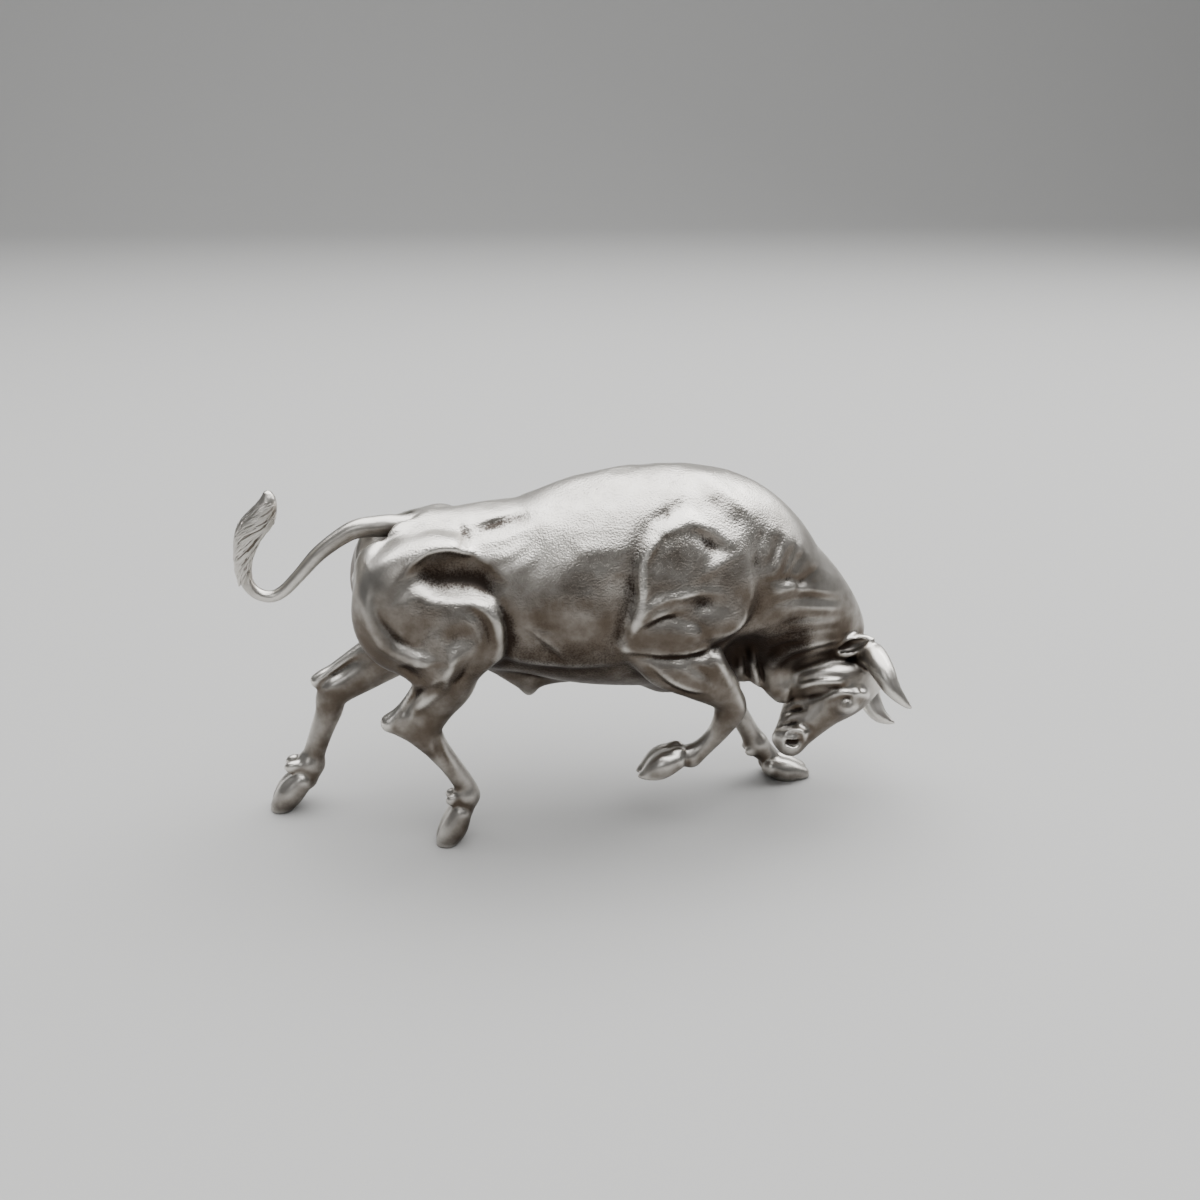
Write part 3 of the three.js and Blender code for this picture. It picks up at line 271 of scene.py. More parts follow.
    def draw(self, points, q, width, height, frame, stepped, core=CORE):
        """Draws a line of relief on side q, from points of the profile; it fades out at both ends."""
        p = smooth(points, LINE_STEPS)
        reach = width * LINE_REACH
        spans = [(p[:, i].min() - reach, p[:, i].max() + reach) for i in (0, 1)]
        corners = np.array([(s, w, h) for s in spans[0] for w in (0, q * ASIDE) for h in spans[1]])
        corners = corners @ frame[1] + frame[0]
        cut, grid = self.block(corners.min(0), corners.max(0))
        s, w, h = self.local(grid, frame)
        far = np.full(np.broadcast(s, h).shape, NOWHERE, np.float32)
        along, side = np.zeros_like(far), np.zeros_like(far)
        for i, (a, ab) in enumerate(zip(p, np.diff(p, axis=0))):
            u, v = s - a[0], h - a[1]
            t = np.clip((u * ab[0] + v * ab[1]) / (ab @ ab + TINY), 0, 1)
            d = (u - t * ab[0]) ** 2 + (v - t * ab[1]) ** 2
            along = np.where(d < far, (i + t) / (len(p) - 1), along)
            if stepped:
                side = np.where(d < far, (v * ab[0] - u * ab[1]) / np.hypot(*ab), side)
            far = np.minimum(far, d)
        bell = np.sqrt(np.sin(np.pi * np.clip(along, LINE_END, 1 - LINE_END))) * np.exp(-far / width ** 2)
        if stepped:
            bell = bell * np.tanh(side / (STEP_SHARE * width))
        starts = np.clip((w * q - core) / CORE_FADE, 0, 1)
        self.field[cut] -= (height * bell * starts).astype(np.float32)

    def relief(self, rows, q, frame=BODY, shift=0.0):
        """Draws ridges, furrows and edges on side q. An edge is a step, raised on its line's left."""
        for kind, width, height, points, *core in rows:
            self.draw([(x + shift, z) for x, z in points], q, width,
                      -height if kind == "furrow" else height, frame, kind == "edge", *core)

    def claws(self, path, spread, toe, soft, dewclaw, size):
        """A cloven hoof: two claws side by side, drawn in at the toe, with a dewclaw behind each."""
        spreads = [spread] * (len(path) - 1) + [spread * toe]
        for q in SIDES:
            self.strand([(x, y + q * apart, z, r) for (x, y, z, r), apart in zip(path, spreads)], soft)
            self.ball(np.add(dewclaw, (0, q * spread, 0)), size, DEWCLAW_SOFT)


def trunk(c):
    # Back and belly from the rump to the neck
    c.strand([
        (-16.2, 0, 28.6, 8.2, 0.82), (-11, 0, 28.6, 9.0, 0.84), (-5, 0, 28.4, 9.8, 0.9),
        (1, 0, 28.6, 11.55, 0.8), (7, 0, 28.8, 12.4, 0.72), (11.6, 0, 28.6, 12.3, 0.66),
        (15.4, 0, 28.2, 10.4, 0.68), (19.2, 0.1, 26.6, 8.2, 0.74), (22.6, 0.3, 24.4, 7.1, 0.74),
        (25.4, 0.6, 22.45, 5.9, 0.68), (27.3, 0.8, 21, 4.8, 0.66),
    ], 0.5, ACROSS)
    # Brisket and dewlap
    c.strand([
        (9, 0, 17.8, 2.8, 0.8), (13.4, 0, 17.8, 3.2, 0.6), (17.4, 0, 18.4, 2.9, 0.42),
        (20.4, -0.4, 17.2, 2.2, 0.45), (22.6, -1.2, 14.8, 1.7, 0.6),
    ], 2, ACROSS)
    # Sheath
    c.strand([(-9.6, 0, 20.2, 1.8), (-7.2, 0, 17.6, 1.2), (-6.3, 0, 16, 0.45)], 1.2)
    c.strand([(-2.6, 0, 18.4, 1.5), (-5, 0, 17.6, 1.2), (-6.3, 0, 16.1, 0.4)], 1.2)
    # Deep hollow between shoulder, forearm and throat
    for q in SIDES:
        c.cut_ball((16.6, q * 6.6, 20.4), (2.6, 3.6, 3.2), 2.2, turned(-35))


def quarters(c):
    # Croup, hook bones and pin bones
    c.ball((-19.2, 0, 32.2), (4.9, 5.2, 4.2), 3)
    for q in SIDES:
        c.ball((-14.7, q * 5.9, 34.4), (1.9, 1.4, 1.5), 1.6, turned(0, -q * 25))
        c.ball((-21.9, q * 3.5, 32.4), (1.8, 1.4, 2), 1.4)
    # Haunches and stifles, the far ones further back
    c.ball((-18, -5.4, 28.4), (6.5, 3.4, 7.4), 2, turned(-14))
    c.ball((-18.8, 5.4, 28.2), (6.5, 3.4, 7.4), 2, turned(-14))
    c.ball((-13, -6.6, 26), (3.3, 2.6, 4.7), 1, turned(6))
    c.ball((-14.2, 6.8, 25.6), (3.6, 2.6, 4.6), 1, turned(-8))
    # Trough that the tail leaves from
    c.cut_strand([
        (-17.4, 0, 37.2, 0.8), (-19.4, 0, 36.3, 2), (-21.6, 0, 35.2, 2.8), (-24.6, 0, 33.8, 3.2),
    ], 0.8)


def shoulders(c):
    for q in SIDES:
        # Blade, the muscle before it, upper arm and point of the shoulder
        c.ball((8.3, q * 6.7, 31.4), (3.5, 2.5, 6), 1.3, turned(-5, 0, q * 9))
        c.ball((13.2, q * 6.2, 30.4), (2.8, 2.3, 4.4), 1.2, turned(-6, 0, q * 8))
        c.ball((8.2, q * 7.4, 25.6), (4.5, 2.3, 2.7), 1.1, turned(-4))
        c.ball((12.8, q * 7, 26.6), (3.2, 2.1, 2.5), 1, turned(10))
        # Ridge from the elbow up
        c.strand([
            (3.3, q * 7.6, 23.5, 0.85), (4.3, q * 8.2, 25.8, 0.85), (5.9, q * 8.6, 28, 0.8),
            (8.4, q * 8.5, 29.4, 0.6),
        ], 1)


def near_hind_leg(c):
    c.strand([
        (-15.8, -6.4, 24, 4.4, 0.66), (-15.4, -6.1, 20.6, 3.2, 0.66), (-16.5, -5.7, 17.4, 2, 0.76),
        (-17.7, -5.5, 14.9, 1.75, 0.72), (-16.9, -5.4, 12.6, 1.4, 0.76), (-15.3, -5.2, 10, 1.15, 0.95),
        (-13.9, -5.1, 7.4, 1.15, 0.95), (-13.7, -5.1, 6.1, 1.4, 0.95),
    ], 1.2, ACROSS)
    # Tendon, hock and pastern
    c.ball((-18.9, -5.4, 15.5), (2, 1.15, 1.25), 0.8, turned(-30))
    c.strand([
        (-16.6, -5.9, 20.6, 1.6), (-18.7, -5.7, 18.5, 0.95), (-20.1, -5.5, 16.9, 0.8),
        (-21.5, -5.4, 15.7, 0.8),
    ], 0.6)
    c.strand([(-21.4, -5.4, 15.4, 0.8), (-19.4, -5.4, 14.3, 0.95), (-17.6, -5.3, 13.2, 1.1)], 0.8)
    c.strand([(-13.8, -5.1, 6.1, 1.3), (-14.2, -5, 4.4, 1.2)], 0.6)
    c.claws([
        (-14.4, -5, 4.3, 1.15), (-15.2, -5, 2.5, 1.42), (-16.1, -5, 1, 1.15), (-16.5, -5, 0.35, 0.85),
    ], 0.72, 0.8, 0.25, (-15.2, -5, 5.9), (0.85, 0.5, 0.7))


def far_hind_leg(c):
    c.strand([
        (-18.2, 6.4, 24, 4.5, 0.66), (-20.6, 6.1, 20, 3.5, 0.66), (-24, 5.7, 17, 2.3, 0.74),
        (-28, 5.3, 14.6, 1.85, 0.74), (-28.9, 5.1, 12.2, 1.5, 0.78), (-29.9, 5, 9.8, 1.3, 0.92),
        (-30.9, 4.9, 7.2, 1.25, 0.95), (-31.4, 4.9, 5.9, 1.55, 0.95),
    ], 1.2, ACROSS)
    # Tendon, hock and pastern
    c.ball((-28, 5.3, 15.7), (2, 1.2, 1.3), 0.8, turned(-30))
    c.strand([
        (-21.5, 5.9, 20.6, 1.7), (-25.6, 5.6, 18.6, 1), (-28, 5.4, 17.1, 0.85),
        (-29.8, 5.2, 16.1, 0.85),
    ], 0.6)
    c.strand([(-31.5, 4.9, 5.7, 1.5), (-32.2, 4.8, 4.1, 1.5)], 0.6)
    c.claws([
        (-32.5, 4.8, 4.1, 1.3), (-33.9, 4.8, 2.6, 1.55), (-35, 4.8, 1.1, 1.25), (-35.4, 4.8, 0.4, 0.9),
    ], 0.78, 0.8, 0.25, (-33.2, 4.8, 5.9), (1.15, 0.6, 0.8))


def near_fore_leg(c):
    # Lifted and folded back at the knee
    c.strand([
        (4.3, -7.8, 23.3, 1, 0.9), (7.6, -7.5, 21.7, 2.6, 0.7), (11.4, -6.9, 20, 2.9, 0.68),
        (14.4, -6.2, 17.3, 2, 0.85), (15.3, -5.9, 15.4, 1.85, 0.8), (14.4, -5.6, 12.8, 1.25, 0.85),
        (12.9, -5.3, 10.7, 1.05, 0.95), (11.3, -5.1, 9.2, 1.25, 0.95),
    ], 0.8, ACROSS)
    c.ball((12.2, -6.9, 21.6), (2.2, 1.5, 1.5), 0.8, turned(-38))
    c.strand([(11, -5.1, 9.2, 1.2), (9.5, -5, 9.2, 1.05)], 0.5)
    c.claws([
        (9.3, -5, 9.2, 1.25), (7.9, -5, 8.6, 1.5), (6.3, -5, 7.4, 0.95), (5.2, -5, 6.9, 0.4),
    ], 0.72, 0.8, 0.2, (9.6, -5, 10.2), (0.8, 0.5, 0.5))
    c.shave((7, -5, 7.2), (-0.03, 0, -1), (4, -8, 4), (10.4, -2, 9), 0.1)


def far_fore_leg(c):
    # Reached forward, flat on its sole
    c.strand([
        (12, 7.2, 22, 3, 0.66), (15.4, 6.2, 16.6, 2.2, 0.8), (17, 5.6, 13.6, 1.9, 0.85),
        (18.4, 5.1, 10.2, 1.3, 0.92), (20.3, 4.8, 6.8, 1.2, 0.92), (21.3, 4.7, 5, 1.45, 0.92),
    ], 1.2, ACROSS)
    c.strand([(21.4, 4.7, 4.7, 1.35), (22.9, 4.6, 3.2, 1.2)], 0.6)
    c.claws([
        (23.2, 4.6, 2.1, 1.3), (25, 4.6, 1.4, 1.45), (27, 4.6, 0.8, 0.95),
    ], 0.85, 0.85, 0.25, (20.5, 4.7, 4.3), (0.75, 0.5, 0.6))


def tail(c):
    # Out from the croup, down, and up again into a pointed tuft
    c.strand([
        (-17, 0, 35.2, 1.8), (-19, 0, 35.6, 1.2), (-21.2, 0, 35.7, 1.15), (-23.6, 0, 35.5, 1.02),
        (-25.4, 0, 34.7, 0.92), (-27.9, 0, 32.9, 0.82), (-30.1, 0, 30.6, 0.7), (-31.9, 0, 28.9, 0.66),
        (-33.4, 0, 28.4, 0.64), (-34.9, 0, 29.2, 0.66), (-35.6, 0, 31, 0.75), (-35.4, 0, 33.3, 1),
        (-34.6, 0, 35.5, 1.35), (-33.3, 0, 37.1, 1.3), (-32.5, 0, 38.5, 0.95), (-32.4, 0, 39.4, 0.55),
    ], 0.6)


# Lines of relief: kind, width, height, points of the profile and, where it isn't CORE, how far off
# the middle the line starts. The thigh's are drawn further back on the far side
THIGH_LINES = [
    # Upper lip of the hollow under the hook bone, and its shallow rear end
    ("edge", 1.3, 0.3, [
        (-18.7, 33), (-17.5, 34.1), (-16, 35), (-14.3, 35), (-12.6, 34.3), (-11, 33.4), (-9.7, 32.3)]),
    ("furrow", 1, 0.25, [(-16.4, 33.4), (-18, 32.4), (-19.2, 31.2), (-19.1, 30.2)]),
    # Thigh: bright front edge over a step, a fine line inside it, and the hollow within
    ("ridge", 0.75, 0.5, [
        (-15.4, 30.4), (-14.1, 30.2), (-12.1, 29.9), (-10.8, 28.8), (-10.1, 27.2), (-9.9, 25),
        (-10.4, 22.8), (-11.8, 21.8)]),
    ("edge", 1.1, -0.42, [
        (-11.2, 30.4), (-9.9, 29.2), (-9.2, 27.3), (-9, 25), (-9.5, 22.6), (-10.8, 21.2)]),
    ("furrow", 0.55, 0.14, [(-13.2, 29), (-11.8, 28.4), (-11, 27), (-10.9, 25.2)]),
    ("furrow", 1.3, 0.55, [(-15.4, 25.4), (-13.6, 26.2), (-12, 26.8)]),
    # Lower thigh and knee
    ("ridge", 0.55, 0.35, [(-14.1, 25.1), (-14.7, 23.6), (-15.7, 22.3), (-17.2, 20.9)]),
    ("furrow", 0.5, 0.3, [(-12.9, 23.7), (-13.7, 22), (-14.7, 20.9)]),
    ("furrow", 0.8, 0.5, [(-19.6, 23.6), (-18.6, 22.3), (-17.5, 21.5)]),
    ("furrow", 0.8, 0.35, [(-16.6, 28.4), (-17.2, 26), (-16.8, 23.9)]),
    # Bands of muscle down the rear of the thigh
    ("ridge", 0.7, 0.4, [
        (-23.2, 31.4), (-23.1, 29.3), (-22.5, 27.2), (-21.3, 25.3), (-19.4, 24.1), (-17.4, 23.5)]),
    ("edge", 1, -0.24, [
        (-22.2, 31.2), (-22, 29.1), (-21.2, 27.4), (-20, 25.9), (-18.4, 25), (-17.4, 24.6)]),
    ("furrow", 0.7, 0.2, [(-21.8, 28.6), (-20.7, 26.7), (-19.4, 25.5), (-17.6, 24.9)]),
]

FLANK_LINES = [
    # Edge of the loin: a lens between two rims, and the wrinkles at the hook bone
    ("ridge", 0.5, 0.18, [(-12.2, 36.5), (-10, 37), (-7.5, 37.4), (-5.4, 37.9)]),
    ("furrow", 0.6, 0.5, [(-12.1, 35.9), (-10.2, 36.3), (-8.4, 36.7), (-5.8, 37.5)]),
    ("ridge", 0.5, 0.2, [(-11.8, 35.2), (-9.2, 35.6), (-7.2, 36.3), (-5.4, 37)]),
    ("furrow", 0.35, 0.26, [(-13.3, 36.6), (-12.9, 35.8), (-13.2, 34.9)]),
    ("furrow", 0.35, 0.2, [(-12.6, 36.1), (-12.3, 35.5), (-12.6, 34.8)]),
    # Last ribs, fanning up to the loin
    ("ridge", 0.6, 0.16, [(-11, 33.9), (-8.8, 34.1), (-7, 35), (-5.4, 36.4)]),
    ("ridge", 0.6, 0.14, [(-8.8, 32.6), (-7, 33.4), (-5.4, 34.7), (-4, 36.4)]),
    # Fold of the flank, and the edges of the belly
    ("edge", 0.9, 0.16, [(-7.4, 27), (-5.7, 25.6), (-3.9, 23.9), (-3, 22.6)]),
    ("furrow", 0.8, 0.2, [(-8.6, 27.8), (-6.4, 27.3), (-4.5, 26.7), (-1.4, 26.2)]),
    ("edge", 1.3, 0.4, [(-9.4, 22.8), (-7.1, 22.2), (-4.4, 21.8), (-1.2, 21.6), (2.4, 21.9)], 3),
    # Hollow behind the elbow
    ("furrow", 1.4, 0.5, [(2.7, 32.6), (2.5, 29.6), (2.4, 26.6), (2, 24.2)]),
    # Groove beside the root of the tail
    ("furrow", 0.6, 0.35, [(-17.8, 36.5), (-19.6, 35.6), (-21.2, 34.6), (-22.6, 33.3)], 1.2),
]


def flanks(c):
    for q in SIDES:
        back = -0.45 - 0.45 * q
        # Hollow of the flank under the hook bone
        c.cut_ball((-13.6 + back, q * 9.1, 32.3), (4.6, 3, 2.6), 0.9, turned(-13))
        c.relief(THIGH_LINES, q, shift=back)
        c.relief(FLANK_LINES, q)


SHOULDER_LINES = [
    # Rear edge of the shoulder, from the elbow up over the blade
    ("ridge", 0.55, 0.3, [
        (3.2, 24.2), (4, 26.6), (4.8, 29), (5.1, 31.4), (5.2, 33.5), (6.1, 35.3), (7.4, 36.4),
        (9.2, 36.7), (10.6, 36)]),
    ("edge", 1.1, -0.36, [
        (3, 26), (3.8, 28), (4.3, 29.8), (4.2, 31.6), (4.4, 33.5), (5.2, 35.3), (6.3, 36.6)]),
    # Top of the blade, and the muscle that meets it
    ("furrow", 0.6, 0.28, [(10, 36.3), (11.2, 35.3), (12.2, 34.4), (13.2, 33.8)]),
    ("ridge", 0.6, 0.22, [(15.2, 33.7), (13.3, 33), (12, 32.3), (10.7, 31.6)]),
    ("furrow", 1.2, 0.22, [(7.8, 34.4), (8.4, 32.8), (8.8, 31.2)]),
    ("ridge", 0.75, 0.35, [(7.6, 37.7), (9.2, 37.5), (11.5, 36.6), (13.8, 35.2), (15, 34.2)]),
    # Hump and crest
    ("furrow", 0.6, 0.34, [(6.2, 37), (7.5, 37.5), (8.6, 37.9), (9.7, 38.5)]),
    ("ridge", 0.7, 0.25, [(12.3, 40.2), (14.5, 39), (16.1, 37.6), (17.4, 36)], 0.6),
    ("furrow", 0.6, 0.12, [(11.2, 39.4), (12.7, 38.3), (14, 37), (15.6, 35.6)]),
    # Front edge of the shoulder, down and back to the forearm
    ("edge", 1.7, -0.45, [
        (16.2, 33.4), (16.9, 30.9), (17, 28.8), (16.6, 26.4), (15.1, 24.9), (12.9, 24.5), (11.4, 24.4)]),
    ("furrow", 0.55, 0.3, [(16.9, 28.4), (16.5, 26.2), (15, 24.8), (12.8, 24.4)]),
    # Upper arm: a band from the elbow, the crease under it, a low lobe and the lower edge
    ("ridge", 0.5, 0.26, [(4.6, 27.4), (5.6, 28.8), (7.3, 29.7), (10.5, 30), (13.6, 29.6)]),
    ("furrow", 0.8, 0.26, [(7.6, 28.9), (9.7, 29), (11.8, 28.6), (13.8, 27.8)]),
    ("edge", 0.8, 0.24, [(4.6, 26.4), (5.7, 27.2), (7, 27.8), (9.4, 28.1)]),
    ("furrow", 0.4, 0.12, [(4.6, 26.4), (5.7, 27.1), (7, 27.6), (8.6, 27.7)]),
    ("furrow", 0.5, 0.2, [(8.4, 27.2), (10.3, 26.7), (11.4, 25.4), (11.5, 24)]),
    ("edge", 0.9, 0.32, [(3.4, 23.7), (5.4, 23.4), (9, 23.1), (12.3, 23.4), (15, 24.2)]),
    ("furrow", 0.45, 0.1, [(4.8, 23.3), (8.3, 23), (11, 23.1), (13.6, 23.7)]),
]

FOREARM_LINES = [
    # Forearm of the lifted leg
    ("edge", 0.6, 0.3, [(6, 21.8), (8, 20), (9.9, 18.9), (11.6, 18.4)]),
    ("ridge", 0.55, 0.35, [(9.8, 23.1), (11.6, 23.4), (13, 22.4), (13.9, 20.7), (15, 18.4)]),
    ("furrow", 0.6, 0.3, [(9.7, 22), (11.5, 20.8), (13.2, 18.8)]),
]


def shoulder_relief(c):
    for q in SIDES:
        # Point of the elbow
        c.ball((3.4, q * 7.9, 24.1), (0.9, 0.9, 1), 0.6)
        c.relief(SHOULDER_LINES, q)
    c.relief(FOREARM_LINES, NEAR)


NECK_LINES = [
    # Folds that run along the neck towards the ear, no two alike
    ("furrow", 0.45, 0.2, [(17.9, 30.2), (19.6, 30), (21.4, 29.7), (24, 28.6)]),
    ("ridge", 0.5, 0.18, [(18.2, 28.4), (21, 28.9), (24, 28.2), (26.8, 27)]),
    ("furrow", 0.5, 0.2, [(18, 26.6), (20.2, 27.5), (22.8, 27.5), (25.4, 26.9), (27.8, 26)]),
    ("ridge", 0.45, 0.12, [(19.4, 25.6), (22, 26.4), (25, 26), (27.6, 25.2)]),
    ("furrow", 0.5, 0.22, [(18.6, 24), (21.4, 24.9), (23.8, 25.1), (27.6, 24.4)]),
    ("furrow", 0.45, 0.2, [(20, 22.8), (22.4, 23.4), (25.2, 23.4), (28, 23)]),
    # Short folds that sweep down and back from the crest
    ("furrow", 0.5, 0.2, [(18, 35.3), (17.4, 33.8), (17.1, 31.6)]),
    ("furrow", 0.55, 0.2, [(20.1, 34.8), (19.4, 33.2), (18.4, 31.4)]),
    ("ridge", 0.5, 0.12, [(21.1, 34), (20, 32.5), (19.2, 30.9)]),
    ("furrow", 0.4, 0.16, [(21.9, 33.4), (21, 31.8), (19.8, 30.2)]),
    ("furrow", 0.5, 0.18, [(23, 32.4), (21.6, 31), (20.6, 29.3)]),
    ("furrow", 0.42, 0.16, [(24.8, 30.2), (23, 29.5), (21.6, 28.4)]),
    ("ridge", 0.8, 0.2, [(18.4, 36), (20.9, 34), (23.6, 31.7), (25.7, 29)], 1),
    # Collar of skin behind the jaw
    ("furrow", 0.4, 0.35, [(19.9, 17.6), (19.9, 20.2), (20.8, 21.6), (23, 22.1)]),
    ("ridge", 0.42, 0.28, [(21, 16.2), (20.9, 19.2), (21.9, 20.8), (24.3, 21.5), (28.2, 21.7)]),
    ("furrow", 0.35, 0.35, [(22.2, 16), (21.9, 18.5), (22.8, 20), (25, 20.6), (28.4, 20.8)]),
    # Hanging folds of the dewlap
    ("furrow", 0.35, 0.4, [(17.2, 21.4), (17.9, 18.4), (18.9, 15.4)], -1),
    ("ridge", 0.35, 0.25, [(18, 21.2), (18.8, 18), (19.6, 15.2)], -1),
    ("furrow", 0.35, 0.4, [(18.7, 20.8), (19.8, 17.4), (20.3, 14.8)], -1),
    ("furrow", 0.4, 0.3, [(16, 20.4), (16.4, 17.8), (17.2, 15.2)], -1),
]


def neck(c):
    for q in SIDES:
        c.relief(NECK_LINES, q)


NEAR_HOCK_LINES = [
    # Tendon, groove and shin, side by side above each hock
    ("furrow", 0.42, 0.5, [(-17.5, 20.5), (-19, 18.4), (-20.3, 16.7)], 3),
    ("ridge", 0.55, 0.35, [(-15.9, 20.4), (-17.8, 18.4), (-19.6, 16)], 3),
    ("ridge", 0.5, 0.3, [(-14.2, 23.6), (-15.2, 21.8), (-15.4, 20.4)], 3),
    ("furrow", 0.4, 0.25, [(-16.8, 14.4), (-16.2, 12), (-15, 9.4)], 3),
]

# The outer side of the far hock
FAR_HOCK_LINES = [
    ("furrow", 0.42, 0.45, [(-25, 18.9), (-27.8, 17), (-29.6, 15.8)], 3),
]

# The inner side of the far hock and shin, which the camera sees
FAR_SHIN_LINES = [
    ("furrow", 0.42, 0.4, [(-25.4, 18.5), (-27.8, 16.9), (-29.6, 15.7)], -7),
    ("ridge", 0.5, 0.25, [(-24.6, 17.8), (-27.4, 15.9), (-28.6, 13.6)], -7),
]


def hocks(c):
    c.relief(NEAR_HOCK_LINES, NEAR)
    c.relief(FAR_HOCK_LINES, AWAY)
    c.relief(FAR_SHIN_LINES, NEAR)


def skull(c):
    c.strand(on_head([
        (0.6, 0, 0.3, 3.1, 1.1), (3.4, 0, 0, 3.3, 1.1), (6.4, 0, -0.5, 2.7, 1.06),
        (9.5, 0, -0.6, 2.05, 1.02), (12.2, 0, -0.6, 1.6, 1.2),
    ]), 1, HEAD_ACROSS)
    # Jaw and muzzle
    c.strand(on_head([
        (4.6, 0, -3.2, 2.4, 1.15), (7.5, 0, -2.8, 1.8, 1.05), (11, 0, -2, 1.15, 1.25),
        (12.6, 0, -1.8, 0.85, 1.4),
    ]), 0.8, HEAD_ACROSS)
    c.ball(head_point(12.1, 0, -0.7), (1.35, 2.05, 1.6), 0.7, HEAD_AXES)


CHEEK_LINES = [
    ("furrow", 0.4, 0.25, [(6.2, -5.4), (5, -5.3), (3.1, -4.2), (1.2, -2.6), (0.1, -1)], 1),
    ("furrow", 0.28, 0.16, [(6.6, -3.9), (4.8, -2.5), (3.1, -0.6)], 1),
    ("edge", 0.6, 0.3, [(7.3, -3.4), (5.9, -2.4), (4.6, -1), (3.8, 0.2)], 1),
    ("furrow", 0.7, 0.25, [(7.4, -2.3), (6.2, -1.3), (5, -0.4)], 1),
    ("furrow", 0.3, 0.25, [(7, -4.4), (8.3, -3.6), (9.6, -3)], 0.8),
]

FACE_LINES = [
    ("ridge", 0.4, 0.3, [(6.7, -0.7), (5.6, -0.2), (4.5, 0.4), (3.9, 1.4)], 1),
    ("ridge", 0.5, 0.35, [(3.6, 1.5), (3, 2.4), (2.6, 3.2)], 1),
    ("ridge", 0.3, 0.2, [(6.1, 1.9), (5.2, 2.5), (4.2, 2.8)], 1),
    # Mouth, lips and nostril
    ("furrow", 0.26, 0.45, [(10.6, -3.3), (9.4, -2.6), (8.4, -1.7)], 0.4),
    ("furrow", 0.28, 0.35, [(12.4, -2.9), (11.2, -2.2), (9.8, -1.1)], 0.4),
    ("ridge", 0.32, 0.38, [(12.6, -1.5), (11.6, -1.5), (10.8, -0.8), (10.6, 0.2), (11.3, 0.9)], 0.6),
    ("furrow", 0.35, 0.2, [(10.2, -1), (9.8, 0), (10, 0.8)], 0.6),
]


def features(c):
    for q in SIDES:
        # Jaw muscle: a flat top that looks up, stepped up from the neck and down to the face's hollow
        c.strand(on_head([
            (6.9, q * 1.9, -3.7, 1), (5.4, q * 2.5, -3, 1.9), (3.6, q * 2.8, -1.6, 2.05),
            (1.7, q * 2.7, 0, 1.5),
        ]), 0.7)
        c.ball(head_point(3, q * 2.2, -3.6), (2.6, 1.5, 1.6), 0.9, HEAD_AXES)
        c.ball(head_point(4.2, q * 2.6, 1.3), (1.9, 1.15, 1.3), 1.1, HEAD_AXES)
        c.relief(CHEEK_LINES, q, HEAD)
        # Eye: the socket and the ball, with the lids and the brow round them
        c.cut_ball(head_point(5, q * 3.8, 1.4), (0.9, 0.5, 0.6), 0.3, HEAD_AXES)
        c.ball(head_point(5, q * 3.15, 1.4), (0.55, 0.45, 0.45), 0.15, HEAD_AXES)
        c.relief(FACE_LINES, q, HEAD)
        c.cut_strand(on_head([
            (12.5, q * 1.8, -0.6, 0.36), (12.1, q * 1.75, 0, 0.44), (11.5, q * 1.75, 0.35, 0.2),
        ]), 0.25)
        # Ear: a leaf laid back to the horn, with a cup that opens outwards
        c.strand(on_head([
            (1.3, q * 3.4, -3, 0.9), (0.3, q * 4.6, -2.5, 1.25), (-0.9, q * 5.1, -1.6, 1.05),
            (-1.9, q * 5.5, -0.8, 0.4),
        ]), 0.5)
        c.cut_strand(on_head([
            (1, q * 5.2, -2.7, 0.35), (0.1, q * 5.5, -2.1, 0.68), (-0.8, q * 5.8, -1.5, 0.56),
            (-1.5, q * 6, -1.1, 0.25),
        ]), 0.25)


def horns(c):
    # Out to the side, then forward to a point; the pair isn't quite even
    c.strand(on_head([
        (-0.6, -2.6, -0.4, 1.7), (-0.7, -5, 0.5, 1.5), (0.1, -6.3, 2.3, 1.3), (1, -6.5, 4.3, 0.95),
        (1.3, -6.2, 6.2, 0.5), (1.3, -6, 7.1, 0.2),
    ]), 0.4)
    c.strand(on_head([
        (-0.6, 2.6, -0.4, 1.7), (0.1, 5, 1, 1.5), (1.6, 5.9, 3, 1.35), (2.4, 5.9, 4.9, 1),
        (2.3, 5.9, 6.3, 0.5), (2.1, 5.8, 7, 0.2),
    ]), 0.4)


def fine_relief(c):
    """The modeller's soft dents over the trunk, from smooth noise with a fixed seed."""
    random = np.random.default_rng(11)
    total = 0
    for spacing, depth in ((3.2, 0.075), (1.5, 0.045)):
        count = [int(np.ceil(n * c.cell / spacing)) + 3 for n in c.field.shape]
        noise = random.normal(size=count).astype(np.float32)
        for axis, places in enumerate(c.axis):
            at = (places - places[0]) / spacing
            first = at.astype(int)
            t = at - first
            t = (t * t * (3 - 2 * t)).astype(np.float32)
            low, high = (np.take(noise, first + k, axis) for k in (0, 1))
            shape = [-1 if a == axis else 1 for a in range(3)]
            noise = low + (high - low) * t.reshape(shape)
        total = total + np.float32(depth) * noise
    x, z = c.axis[0][:, None, None], c.axis[2]
    on_trunk = (np.clip((z - 19) / 4, 0, 1) * np.clip((x + 24) / 4, 0, 1)
                * np.clip((36 - x - 0.4 * z) / 5, 0, 1))
    c.field += total * on_trunk.astype(np.float32)


def sculpt(c):
    """The whole animal, part by part; reliefs come after the flesh that they are drawn on."""
    for part in (trunk, quarters, shoulders, near_hind_leg, far_hind_leg, near_fore_leg, far_fore_leg,
                 tail, flanks, shoulder_relief, neck, hocks, skull, features, horns, fine_relief):
        part(c)


def ground(c):
    """Cuts the soles flat on the floor."""
    c.field = np.maximum(c.field, SOLE - c.axis[2][None, None, :])


